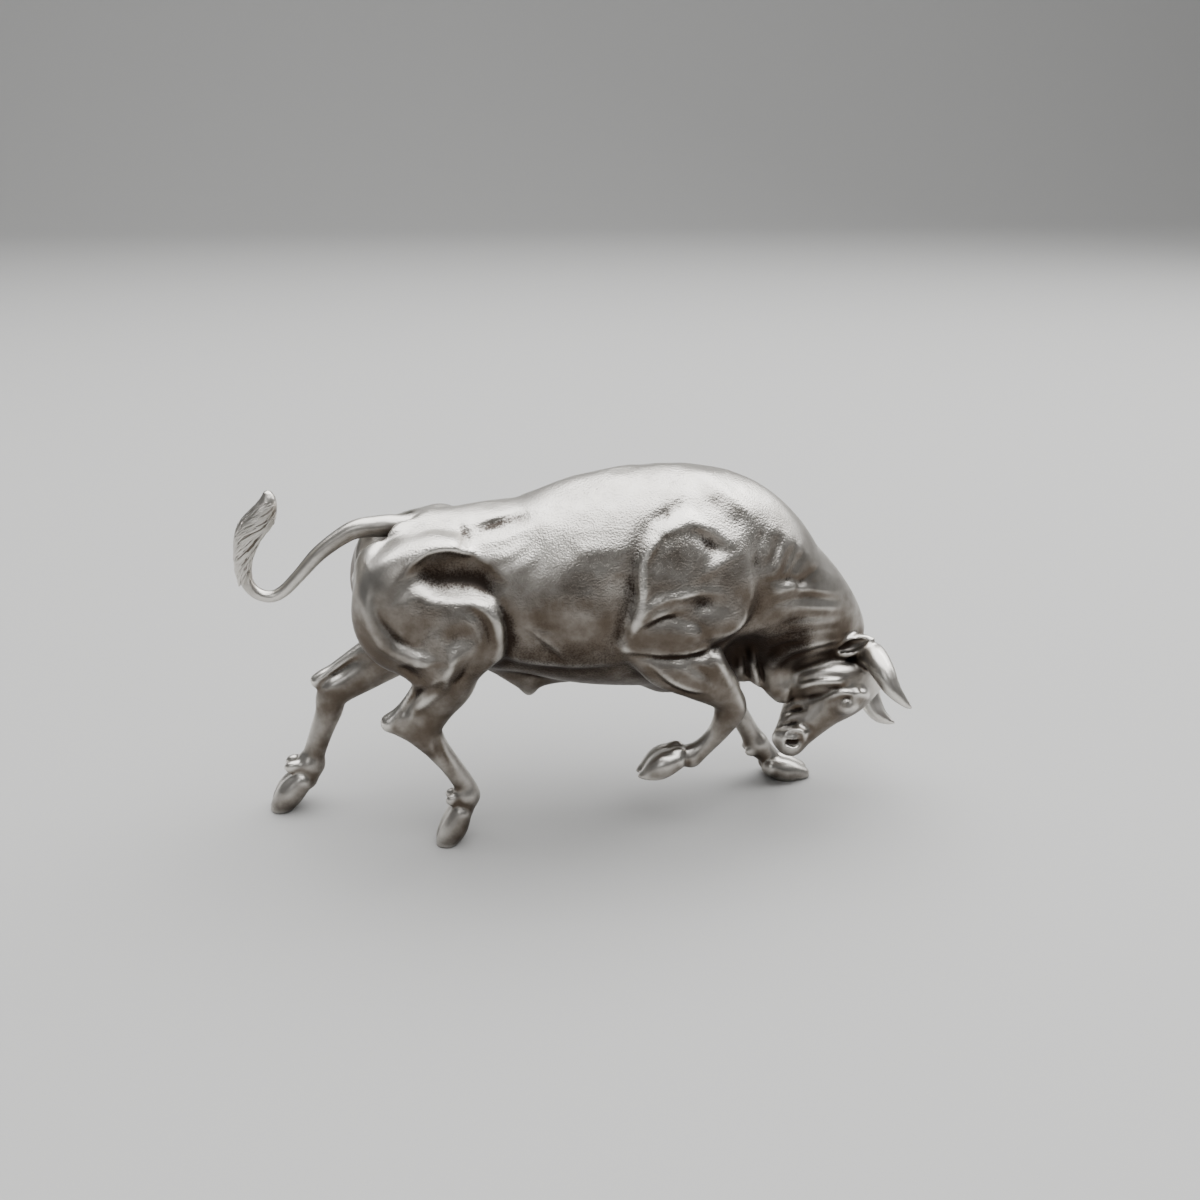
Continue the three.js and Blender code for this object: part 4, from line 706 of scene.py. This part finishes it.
# The corners of a grid cell, and its edges as pairs of corners
CELL_CORNERS = [(i, j, k) for i in (0, 1) for j in (0, 1) for k in (0, 1)]
CELL_EDGES = [(a, a | bit) for a in range(8) for bit in (1, 2, 4) if not a & bit]


def skin(c):
    """Points and four-sided faces where the field is zero, one point in each crossed cell."""
    f = c.field
    inner = [n - 1 for n in f.shape]
    corner = [f[i:i + inner[0], j:j + inner[1], k:k + inner[2]] for i, j, k in CELL_CORNERS]
    inside = sum((v < 0).astype(np.int8) for v in corner)
    cells = np.argwhere((inside > 0) & (inside < 8))
    index = tuple(cells.T)
    values = [v[index] for v in corner]
    total = np.zeros((len(cells), 3))
    crossings = np.zeros(len(cells))
    for a, b in CELL_EDGES:
        va, vb = values[a], values[b]
        crossed = (va < 0) != (vb < 0)
        t = np.where(crossed, va / np.where(crossed, va - vb, 1), 0)
        pa, pb = np.array(CELL_CORNERS[a]), np.array(CELL_CORNERS[b])
        total += crossed[:, None] * (pa + t[:, None] * (pb - pa))
        crossings += crossed
    points = c.low + (cells + total / crossings[:, None]) * c.cell
    number = np.full(inner, -1, np.int32)
    number[index] = np.arange(len(cells))
    return points, np.vstack([crossed_faces(f, number, axis) for axis in range(3)])


def crossed_faces(f, number, axis):
    """The face round every grid edge along one axis that passes through the skin."""
    g = np.moveaxis(f, axis, 0)
    n = np.moveaxis(number, axis, 0)
    leaves = (g[:-1] < 0) != (g[1:] < 0)
    at = np.argwhere(leaves[:, 1:-1, 1:-1])
    i, j, k = at[:, 0], at[:, 1] + 1, at[:, 2] + 1
    faces = np.stack([n[i, j - 1, k - 1], n[i, j, k - 1], n[i, j, k], n[i, j - 1, k]], 1)
    flip = g[i, j, k] > 0
    if axis == 1:
        flip = ~flip
    faces[flip] = faces[flip][:, ::-1]
    return faces


def sample(c, values, points):
    """A grid of values read between its points."""
    p = (points - c.low) / c.cell
    base = np.clip(np.floor(p).astype(int), 0, np.array(values.shape) - 2)
    t = np.clip(p - base, 0, 1)
    total = 0
    for i, j, k in CELL_CORNERS:
        weight = np.abs(1 - i - t[:, 0]) * np.abs(1 - j - t[:, 1]) * np.abs(1 - k - t[:, 2])
        total = total + weight * values[base[:, 0] + i, base[:, 1] + j, base[:, 2] + k]
    return total


def slope(c, points):
    """The direction out of the skin and how steeply the field rises there."""
    step = c.cell
    return np.stack([sample(c, c.field, points + step * e) - sample(c, c.field, points - step * e)
                     for e in np.eye(3)], 1) / (2 * step)


def settle(c, points, rounds):
    """Moves points onto the skin itself."""
    for _ in range(rounds):
        g = slope(c, points)
        square = np.maximum((g * g).sum(1), 0.05)
        half = 0.5 * c.cell
        step = np.clip(sample(c, c.field, points) / square, -half, half)
        points = points - g * step[:, None]
    return points


def blurred(values, reach):
    """A box blur, run twice along each axis."""
    span = 2 * reach + 1
    for axis in (0, 0, 1, 1, 2, 2):
        total = np.pad(np.moveaxis(values, axis, 0), ((reach + 1, reach), (0, 0), (0, 0)), "edge")
        total = np.cumsum(total, 0)
        values = np.moveaxis((total[span:] - total[:-span]) / span, 0, axis)
    return values


def hollowness(c, points, reach, depth=None):
    """How sunken each point lies within reach mm: over 0 in a hollow, under 0 on an edge."""
    depth = depth or reach
    band = np.clip(c.field, -depth, depth)
    return -sample(c, blurred(band, max(1, round(reach / c.cell / 2))), points) / depth


def linear(hex_colour):
    """An sRGB hex colour as linear red, green, blue and alpha."""
    srgb = [int(hex_colour[i:i + 2], 16) / 255 for i in (1, 3, 5)]
    return [v / 12.92 if v <= 0.04045 else ((v + 0.055) / 1.055) ** 2.4 for v in srgb] + [1.0]


class CastSize(bpy.types.PropertyGroup):
    cell: FloatProperty(name="Modelling step", description="Grid step that the sculpt is worked out on",
                        default=0.22 * MM, min=0.1 * MM, unit="LENGTH")
    length: FloatProperty(name="Length", description="Length of the casting over horns and hoof",
                          default=CAD_BOX[1][0] - CAD_BOX[0][0], unit="LENGTH")
    triangles: IntProperty(name="Triangles", description="Most triangles that the casting may have",
                           default=190000, min=10000)


class WhiteMetalFinish(bpy.types.PropertyGroup):
    # Silver is wear on the ridges and the head end, and painted highlight on upward faces; pewter is
    # painted shade on the sides and underneath; clouds of wear break both up
    silver: FloatVectorProperty(name="Silver", description="White metal that hands have rubbed bright",
                                subtype="COLOR", size=4, default=linear("#ece8e1"))
    pewter: FloatVectorProperty(name="Pewter", description="Duller metal on the sides and underneath",
                                subtype="COLOR", size=4, default=linear("#5c5248"))
    # This brown is also painted shade in the wider hollows and underneath, on the throat, the lower
    # belly, the leg fronts and the soles
    patina: FloatVectorProperty(name="Patina", description="Brown that stays in the hollows",
                                subtype="COLOR", size=4, default=linear("#2b211b"))
    grain: FloatProperty(name="Grain", description="Width of the stippled grain on the back",
                         default=0.2 * MM, unit="LENGTH")
    hair: FloatProperty(name="Hair stroke", description="Length of the short hair strokes on the flank",
                        default=0.9 * MM, unit="LENGTH")
    relief: FloatProperty(name="Relief", description="Depth of the grain and of the hair strokes",
                          default=0.07 * MM, unit="LENGTH")
    roughness: FloatProperty(name="Roughness", description="Satin of the polished metal", default=0.3,
                             min=0, max=1)


class TuftLocks(bpy.types.PropertyGroup):
    length: FloatProperty(name="Lock length", description="Length of a lock of hair on the tuft",
                          default=1.8 * MM, unit="LENGTH")
    width: FloatProperty(name="Lock width", description="Width of a lock", default=0.26 * MM,
                         unit="LENGTH")
    height: FloatProperty(name="Lock height", description="Thickness of a lock, half of it over the skin",
                          default=0.2 * MM, unit="LENGTH")
    density: FloatProperty(name="Locks", description="Locks on each square millimetre", default=7.0,
                           min=0)
    seed: IntProperty(name="Seed", description="Order of the locks", default=5, min=0)


class StudioLook(bpy.types.PropertyGroup):
    floor: FloatVectorProperty(name="Floor", description="Pale floor", subtype="COLOR", size=4,
                               default=linear("#bcbcbb"))
    overhead: FloatProperty(name="Overhead light", description="Power of the large light above",
                            default=7.3, min=0, unit="POWER")
    front: FloatProperty(name="Front light", description="Power of the small light beside the camera",
                         default=0.2, min=0, unit="POWER")
    rim: FloatProperty(name="Rim light", description="Power of the light behind the crest of the neck",
                       default=2.4, min=0, unit="POWER")
    backdrop: FloatProperty(name="Backdrop light", description="Power of the light on the far wall",
                            default=9.0, min=0, unit="POWER")
    sky: FloatProperty(name="Room light", description="Brightness of the room all round", default=0.1,
                       min=0)


def add_node(tree, kind, settings=None, **inputs):
    """Adds a node, sets its own properties, and sets or links its inputs, by name or as _number.

    A node given for an input is linked from its first output.
    """
    node = tree.nodes.new(kind)
    for name, value in (settings or {}).items():
        setattr(node, name, value)
    for name, value in inputs.items():
        socket = node.inputs[int(name[1:]) if name[0] == "_" else name.replace("_", " ")]
        if isinstance(value, bpy.types.Node):
            value = value.outputs[0]
        if isinstance(value, bpy.types.NodeSocket):
            tree.links.new(value, socket)
        else:
            socket.default_value = value
    return node


ADD, MULTIPLY, MULTIPLY_ADD = ({"operation": name} for name in ("ADD", "MULTIPLY", "MULTIPLY_ADD"))
SMOOTHSTEP = {"interpolation_type": "SMOOTHSTEP"}
# The slope of the hair strokes, the width of a cloud of wear, and the roughness that dull places and
# the patina with its painted shade add
HAIR_SLANT, CLOUD = math.radians(12), 4.5 * MM
DULLER, ROUGHER = 0.1, 0.2


def cast_white_metal(finish):
    """Sand-cast tin-based white metal, worn by hands: bright warm silver on the ridges and the head end,
    and as painted highlight on every upward face; duller grey on the sides and underneath as painted
    shade; the brown of the old patina left in the fine hollows, and that brown as painted shade in the
    wider hollows and underneath; a stippled grain on the back, short hair strokes on the flanks, and
    smooth polished legs, head and horns."""
    material = bpy.data.materials.new("cast_white_metal")
    material.use_nodes = True
    tree = material.node_tree
    tree.nodes.clear()
    add = partial(add_node, tree)
    place = add("ShaderNodeTexCoord").outputs["Object"]
    hollow, deep, under, rubbed, grainy, hairy = (
        add("ShaderNodeAttribute", {"attribute_name": name}).outputs["Fac"]
        for name in ("hollow", "deep", "under", "rubbed", "grainy", "hairy"))

    # Stippled grain, hair strokes that lie along the body, and broad clouds of wear
    grain = add("ShaderNodeTexNoise", Vector=place, Scale=1 / finish.grain, Detail=1.0,
                Roughness=0.5)
    stretched = add("ShaderNodeMapping", {"vector_type": "TEXTURE"}, Vector=place,
                    Rotation=(0, HAIR_SLANT, 0),
                    Scale=(finish.hair, 0.3 * finish.hair, 0.3 * finish.hair))
    strokes = add("ShaderNodeTexNoise", Vector=stretched, Scale=1.0, Detail=2.0,
                  Roughness=0.6, Distortion=0.4)
    cloud = add("ShaderNodeTexNoise", Vector=place, Scale=1 / CLOUD, Detail=4.0, Roughness=0.6)
    stipple = add("ShaderNodeMath", MULTIPLY, _0=grain, _1=grainy)
    hair = add("ShaderNodeMath", MULTIPLY, _0=strokes, _1=hairy)
    relief = add("ShaderNodeMath", ADD, _0=stipple, _1=hair)

    # How bright the metal is, from below to above: clouds of wear, worn ridges and head end, and painted
    # highlight on every upward face
    wear_and_painted_highlight = add("ShaderNodeMath", MULTIPLY_ADD, _0=cloud, _1=1.2, _2=-0.6)
    wear_and_painted_highlight = add("ShaderNodeMath", ADD, _0=rubbed, _1=wear_and_painted_highlight)
    wear_and_painted_highlight = add("ShaderNodeMapRange", SMOOTHSTEP, Value=wear_and_painted_highlight, From_Min=-0.15, From_Max=1.25,
               To_Min=0.0, To_Max=1.0)
    metal_colour = add("ShaderNodeMix", {"data_type": "RGBA"}, Factor=wear_and_painted_highlight,
                       _6=finish.pewter, _7=finish.silver)

    # Patina in the fine hollows and painted shade in the wider ones, broken up by the clouds
    uneven = add("ShaderNodeMath", MULTIPLY_ADD, _0=cloud, _1=-0.5, _2=0.25)
    patina_and_shade = add("ShaderNodeMath", {"operation": "MAXIMUM"}, _0=hollow, _1=deep)
    patina_and_shade = add("ShaderNodeMath", ADD, _0=patina_and_shade, _1=uneven)
    # Painted shade on the faces that look down, the lower belly, the throat, the leg fronts and the soles
    patina_and_shade = add("ShaderNodeMath", MULTIPLY_ADD, _0=under, _1=0.45, _2=patina_and_shade)
    pits = add("ShaderNodeMapRange", Value=grain, From_Min=0.6, From_Max=0.35,
               To_Min=-0.08, To_Max=0.22)
    patina_and_shade = add("ShaderNodeMath", MULTIPLY_ADD, _0=pits, _1=grainy, _2=patina_and_shade)
    patina_and_shade = add("ShaderNodeMapRange", SMOOTHSTEP, Value=patina_and_shade, From_Min=0.1, From_Max=0.85,
                To_Min=0.0, To_Max=0.94)
    colour = add("ShaderNodeMix", {"data_type": "RGBA"}, Factor=patina_and_shade,
                 _6=metal_colour.outputs[2], _7=finish.patina)

    # The dull places are rougher, and the patina and the painted shade are roughest
    rough = add("ShaderNodeMapRange", Value=wear_and_painted_highlight, From_Min=0.0, From_Max=1.0,
                To_Min=finish.roughness + DULLER, To_Max=finish.roughness)
    rough = add("ShaderNodeMath", MULTIPLY_ADD, _0=patina_and_shade, _1=ROUGHER, _2=rough)
    bump = add("ShaderNodeBump", Height=relief, Strength=1.0, Distance=finish.relief)

    metal = add("ShaderNodeBsdfPrincipled", Base_Color=colour.outputs[2], Roughness=rough,
                Normal=bump, Metallic=1.0)
    add("ShaderNodeOutputMaterial", Surface=metal)
    return material


MATT = 0.75


def matt_floor(colour):
    """Matt painted board: even, pale and without gloss."""
    material = bpy.data.materials.new("matt_board")
    material.use_nodes = True
    board = material.node_tree.nodes["Principled BSDF"]
    board.inputs["Base Color"].default_value = colour
    board.inputs["Roughness"].default_value = MATT
    return material


def new_mesh(name, points, faces):
    """A mesh object from arrays of points and of four-sided faces."""
    mesh = bpy.data.meshes.new(name)
    mesh.vertices.add(len(points))
    mesh.vertices.foreach_set("co", points.astype(np.float32).ravel())
    mesh.loops.add(faces.size)
    mesh.loops.foreach_set("vertex_index", faces.astype(np.int32).ravel())
    mesh.polygons.add(len(faces))
    mesh.polygons.foreach_set("loop_start", np.arange(0, faces.size, 4, dtype=np.int32))
    mesh.update(calc_edges=True)
    piece = bpy.data.objects.new(name, mesh)
    bpy.context.collection.objects.link(piece)
    return piece


def baked(piece, name):
    """The piece with its modifiers applied, as a plain mesh in place of its own."""
    depsgraph = bpy.context.evaluated_depsgraph_get()
    mesh = bpy.data.meshes.new_from_object(piece.evaluated_get(depsgraph))
    piece.modifiers.clear()
    piece.data = mesh
    mesh.name = name


def ramp(values, low, high):
    t = np.clip((values - low) / (high - low), 0, 1)
    return t * t * (3 - 2 * t)


def surface_masks(c, points):
    """Where the patina stays and where shade is painted, what is worn bright and where highlight is
    painted on upward faces, and where the grain and the hair strokes lie.
    """
    x, y, z = points.T
    out = slope(c, points)
    out /= np.linalg.norm(out, axis=1)[:, None]
    up = out[:, 2]
    fronts = ramp(out[:, 0], 0.15, 0.85) * ramp(-z, -20, -16) * (1 - ramp(x, 28, 30))
    torso = ramp(z, 17, 22) * ramp(x, -22, -17) * (1 - ramp(x + 0.35 * z, 31, 35))
    back = ramp(z + 0.12 * x, 29, 36)
    belly = ramp(x, -10, -7) * (1 - ramp(x, 1, 4)) * ramp(z, 12, 16)
    near = hollowness(c, points, 0.9)
    wide = hollowness(c, points, 3.0)
    sheltered = hollowness(c, points, 6.0, 2.4)
    throat = ramp(-z, -27, -22) * ramp(z, 16, 20) * ramp(x, 14.5, 17) * (1 - ramp(x, 23, 26))
    return {
        "hollow": ramp(near, 0.01, 0.24),
        # Patina and painted shade in the wider and the sheltered hollows, where less light reaches
        "deep": np.maximum(ramp(wide, -0.02, 0.2), 0.8 * ramp(sheltered, -0.05, 0.3)),
        # Painted highlight on every upward face; the ridges and the head end are worn bright
        "rubbed": np.clip(ramp(up, -0.2, 0.9) + 0.8 * ramp(-near, 0.03, 0.22)
                          + 0.8 * ramp(x, 31, 33), 0, 1),
        # Painted shade: faces that look down, the lower belly, the throat, the forward faces of the legs,
        # and darker towards the soles
        "under": np.maximum.reduce([ramp(-up, 0.0, 0.9), ramp(-z, -27.5, -22.5) * belly,
                                    1.6 * throat, 0.9 * fronts, 0.9 * ramp(-z, -3.6, -0.8)]),
        "grainy": 0.12 + 0.88 * torso * (0.55 + 0.45 * back),
        "hairy": 0.3 * torso * (1 - 0.75 * back),
    }


def mesh_points(mesh):
    """The points of a mesh, as rows of x, y and z."""
    points = np.zeros(len(mesh.vertices) * 3, np.float32)
    mesh.vertices.foreach_get("co", points)
    return points.reshape(-1, 3).astype(float)


def placed(points):
    """Moves points in mm into the frame, scaled to the casting's length."""
    low, high = (np.array(bpy.context.scene[name]) for name in ("bull_low", "bull_high"))
    scale = bpy.context.scene.bull_size.length / (high[0] - low[0])
    middle = np.array([(low[0] + high[0]) / 2, (low[1] + high[1]) / 2, low[2]])
    return (np.asarray(points) - middle) * scale


def finish_piece(piece, points, masks):
    """Gives a piece its masks, sets its points in the frame, and ties it to the CAD model's node."""
    mesh = piece.data
    for name, values in masks.items():
        layer = mesh.attributes.new(name, "FLOAT", "POINT")
        layer.data.foreach_set("value", values.astype(np.float32))
    mesh.vertices.foreach_set("co", placed(points).astype(np.float32).ravel())
    mesh.polygons.foreach_set("use_smooth", np.ones(len(mesh.polygons), bool))
    mesh.update()
    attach(piece, "root")
    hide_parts("bull")


class OBJECT_OT_cast_bull(bpy.types.Operator):
    """Sculpts the whole bull as one casting"""

    bl_idname = "object.cast_bull"
    bl_label = "Cast the Bull"

    def execute(self, context):
        size = context.scene.bull_size
        clay = Clay(LOW, HIGH, size.cell / MM)
        sculpt(clay)
        ground(clay)
        points, faces = skin(clay)
        piece = new_mesh("cast_bull", settle(clay, points, 2), faces)
        thin = piece.modifiers.new("thin", "DECIMATE")
        thin.ratio = min(1.0, size.triangles / (2 * len(faces)))
        thin.use_collapse_triangulate = True
        baked(piece, "cast_bull")
        if len(piece.data.polygons) > MOST_TRIANGLES:
            raise RuntimeError("the casting has too many triangles")
        points = settle(clay, mesh_points(piece.data), 1)
        context.scene["bull_low"] = points.min(0).tolist()
        context.scene["bull_high"] = points.max(0).tolist()
        piece.data.materials.append(cast_white_metal(context.scene.bull_finish))
        finish_piece(piece, points, surface_masks(clay, points))
        return {"FINISHED"}


# The tuft of the tail from its root to its tip, in the sculpt's own millimetres: x, z and radius
TUFT = [(-35.6, 30.6, 0.72), (-35.65, 31.6, 0.8), (-35.4, 33.3, 1), (-34.6, 35.5, 1.35),
        (-33.3, 37.1, 1.3), (-32.6, 38.3, 1)]


def tuft_skin(path, sides=12):
    """The skin of the tuft as four-sided faces, and the way that its hair is brushed at each point."""
    along = np.gradient(path[:, :2], axis=0)
    along /= np.linalg.norm(along, axis=1)[:, None]
    points, flow = [], []
    for (x, z, radius), (tx, tz) in zip(path, along):
        inward = np.array([tz, 0, -tx])
        for angle in np.linspace(0, math.tau, sides, endpoint=False):
            out = math.cos(angle) * inward + math.sin(angle) * np.array([0, 1, 0])
            points.append(np.array([x, 0, z]) + radius * out)
            flow.append(np.array([tx, 0, tz]) + 0.6 * abs(math.sin(angle)) * inward)
    points = np.array(points)
    rings = np.arange(len(path) - 1)[:, None] * sides
    k = np.arange(sides)
    after = (k + 1) % sides
    faces = np.stack([rings + k, rings + after, rings + sides + after, rings + sides + k], 2)
    faces = faces.reshape(-1, 4)
    corners = points[faces]
    normal = np.cross(corners[:, 1] - corners[:, 0], corners[:, 3] - corners[:, 0])
    centre = np.repeat((path[:-1] + path[1:]) / 2, sides, 0)[:, [0, 0, 1]] * (1, 0, 1)
    if ((corners.mean(1) - centre) * normal).sum() < 0:
        faces = faces[:, ::-1]
    return points, faces, np.array(flow)


def lock_tree(material):
    """Lays tapered locks over a skin, each turned the way that the skin's flow runs."""
    tree = bpy.data.node_groups.new("tuft_locks", "GeometryNodeTree")
    tree.is_modifier = True
    tree.interface.new_socket("Geometry", in_out="INPUT", socket_type="NodeSocketGeometry")
    for name, kind in (("Lock Length", "Float"), ("Lock Width", "Float"), ("Lock Height", "Float"),
                       ("Density", "Float"), ("Seed", "Int")):
        tree.interface.new_socket(name, in_out="INPUT", socket_type="NodeSocket" + kind)
    tree.interface.new_socket("Geometry", in_out="OUTPUT", socket_type="NodeSocketGeometry")
    add = partial(add_node, tree)
    given = add("NodeGroupInput").outputs
    spots = add("GeometryNodeDistributePointsOnFaces", Mesh=given["Geometry"],
                Density=given["Density"], Seed=given["Seed"])
    flow = add("GeometryNodeInputNamedAttribute", {"data_type": "FLOAT_VECTOR"}, Name="flow")
    upright = add("FunctionNodeAlignRotationToVector", {"axis": "Z"},
                  Vector=spots.outputs["Normal"])
    brushed = add("FunctionNodeAlignRotationToVector", {"axis": "X", "pivot_axis": "Z"},
                  Rotation=upright, Vector=flow)
    stray = add("FunctionNodeRandomValue", {"data_type": "FLOAT_VECTOR"},
                _0=(-0.1, 0.0, -0.1), _1=(0.1, 0.04, 0.1), Seed=given["Seed"])
    stray = add("FunctionNodeEulerToRotation", Euler=stray)
    turned_lock = add("FunctionNodeRotateRotation", {"rotation_space": "LOCAL"},
                      Rotation=brushed, Rotate_By=stray)
    size = add("ShaderNodeCombineXYZ", X=given["Lock Length"], Y=given["Lock Width"],
               Z=given["Lock Height"])
    lock = add("GeometryNodeMeshUVSphere", Segments=6, Rings=8, Radius=0.5)
    lock = add("GeometryNodeTransform", Geometry=lock, Scale=size)
    grown = add("FunctionNodeRandomValue", {"data_type": "FLOAT"}, _2=0.7, _3=1.2,
                Seed=given["Seed"])
    locks = add("GeometryNodeInstanceOnPoints", Points=spots, Instance=lock,
                Rotation=turned_lock, Scale=grown.outputs[1])
    solid = add("GeometryNodeRealizeInstances", Geometry=locks)
    painted = add("GeometryNodeSetMaterial", Geometry=solid, Material=material)
    add("NodeGroupOutput", Geometry=painted)
    return tree


class OBJECT_OT_tuft_locks(bpy.types.Operator):
    """Brushes the tuft of the tail into fine overlapping locks"""

    bl_idname = "object.tuft_locks"
    bl_label = "Brush the Tuft"

    def execute(self, context):
        tuft = context.scene.bull_tuft
        path = smooth(np.array(TUFT), LINE_STEPS)
        points, faces, flow = tuft_skin(path)
        piece = new_mesh("tuft_locks", points, faces)
        piece.data.attributes.new("flow", "FLOAT_VECTOR", "POINT").data.foreach_set(
            "vector", flow.astype(np.float32).ravel())
        tree = lock_tree(bpy.data.materials["cast_white_metal"])
        laid = piece.modifiers.new("locks", "NODES")
        laid.node_group = tree
        values = {"Lock Length": tuft.length / MM, "Lock Width": tuft.width / MM,
                  "Lock Height": tuft.height / MM, "Density": tuft.density, "Seed": tuft.seed}
        for socket in tree.interface.items_tree:
            if socket.in_out == "INPUT" and socket.name in values:
                laid[socket.identifier] = values[socket.name]
        baked(piece, "tuft_locks")
        if len(piece.data.polygons) < FEWEST_LOCK_FACES:
            raise RuntimeError("the tuft grew no locks")
        points = mesh_points(piece.data)
        apart = np.linalg.norm(points[:, None] - path[None, :, [0, 0, 1]] * (1, 0, 1), axis=2)
        raised = apart.min(1) - path[apart.argmin(1), 2]
        finish_piece(piece, points, {"hollow": 1 - ramp(raised, -0.06, 0.1),
                                     "rubbed": ramp(raised, -0.1, 0.08)})
        return {"FINISHED"}


# The camera fitted to the photo: its place in the sculpt's own millimetres, the way that it faces
# over the floor, how many degrees it looks down, its lens and film in mm, and its clip in metres
CAMERA_PLACE = (-14.05, -121.0, 73.6)
CAMERA_FORWARD = (0.1288, 0.9917)
CAMERA_DOWN = 21.2
CAMERA_LENS = 36
CAMERA_CLIP = 0.005


class SCENE_OT_bull_studio(bpy.types.Operator):
    """Sets the pale floor, the soft lights and the camera"""

    bl_idname = "scene.bull_studio"
    bl_label = "Set Up the Studio"

    def execute(self, context):
        look = context.scene.bull_studio
        add_sweep(look)
        add_area("overhead", (0.04, 0.04, 0.5), (0.02, 0.02, 0.02), (0.95, 0.7), look.overhead)
        add_area("front", (-0.25, -0.45, 0.3), (0, 0, 0.02), (0.2, 0.2), look.front)
        add_area("rim", (0.45, 0.22, 0.42), (0, 0, 0.02), (0.5, 0.5), look.rim)
        add_area("backdrop", (0, 0.35, 0.9), (0, 1.3, 0.35), (2.6, 0.4), look.backdrop)
        world = bpy.data.worlds.new("room")
        world.use_nodes = True
        world.node_tree.nodes["Background"].inputs["Color"].default_value = (1, 1, 1, 1)
        world.node_tree.nodes["Background"].inputs["Strength"].default_value = look.sky
        context.scene.world = world
        camera = bpy.data.objects.new("camera", bpy.data.cameras.new("camera"))
        camera.data.sensor_width = camera.data.lens = CAMERA_LENS
        camera.data.clip_start = CAMERA_CLIP
        camera.location = placed([CAMERA_PLACE])[0]
        heading = math.atan2(-CAMERA_FORWARD[0], CAMERA_FORWARD[1])
        camera.rotation_euler = Euler((math.radians(90 - CAMERA_DOWN), 0, heading))
        context.collection.objects.link(camera)
        context.scene.camera = camera
        return {"FINISHED"}


def add_sweep(look):
    """A floor that runs up into a wall far behind, in one curve."""
    reach, bend, height = 0.9, 0.5, 1.2
    rows = [(-1.2, 0.0), (reach, 0.0)]
    rows += [(reach + bend * math.sin(a), bend * (1 - math.cos(a)))
             for a in np.linspace(0.1, math.pi / 2, 14)]
    rows.append((reach + bend, height))
    points = np.array([(x, y, z) for y, z in rows for x in (-2.5, 2.5)])
    faces = np.array([(2 * i, 2 * i + 1, 2 * i + 3, 2 * i + 2) for i in range(len(rows) - 1)])
    sweep = new_mesh("studio_sweep", points, faces)
    sweep.data.materials.append(matt_floor(look.floor))
    sweep.data.polygons.foreach_set("use_smooth", np.ones(len(faces), bool))


def add_area(name, place, target, size, power):
    """A rectangular soft light that faces a point."""
    light = bpy.data.lights.new(name, "AREA")
    light.shape = "RECTANGLE"
    light.size, light.size_y = size
    light.energy = power
    lamp = bpy.data.objects.new(name, light)
    lamp.location = place
    lamp.rotation_euler = (Vector(target) - Vector(place)).to_track_quat("-Z", "Y").to_euler()
    bpy.context.collection.objects.link(lamp)


class VIEW3D_PT_cast_bull(bpy.types.Panel):
    """Lists the bull's pieces and its stage"""

    bl_label = "Cast Bull"
    bl_idname = "VIEW3D_PT_cast_bull"
    bl_space_type = "VIEW_3D"
    bl_region_type = "UI"
    bl_category = "Cast Bull"

    def draw(self, context):
        for group in (getattr(context.scene, name) for name in GROUPS):
            for name in group.__annotations__:
                self.layout.prop(group, name)
        for operator in OPERATORS:
            self.layout.operator(operator.bl_idname)


GROUPS = {"bull_size": CastSize, "bull_finish": WhiteMetalFinish, "bull_tuft": TuftLocks,
          "bull_studio": StudioLook}
OPERATORS = (OBJECT_OT_cast_bull, OBJECT_OT_tuft_locks, SCENE_OT_bull_studio)


def register():
    for cls in (*GROUPS.values(), *OPERATORS, VIEW3D_PT_cast_bull):
        bpy.utils.register_class(cls)
    for name, group in GROUPS.items():
        setattr(bpy.types.Scene, name, PointerProperty(type=group))


def unregister():
    for name in GROUPS:
        delattr(bpy.types.Scene, name)
    for cls in reversed((*GROUPS.values(), *OPERATORS, VIEW3D_PT_cast_bull)):
        bpy.utils.unregister_class(cls)


def main():
    register()
    bpy.ops.object.cast_bull()
    bpy.ops.object.tuft_locks()
    bpy.ops.scene.bull_studio()


if __name__ == "__main__":
    main()
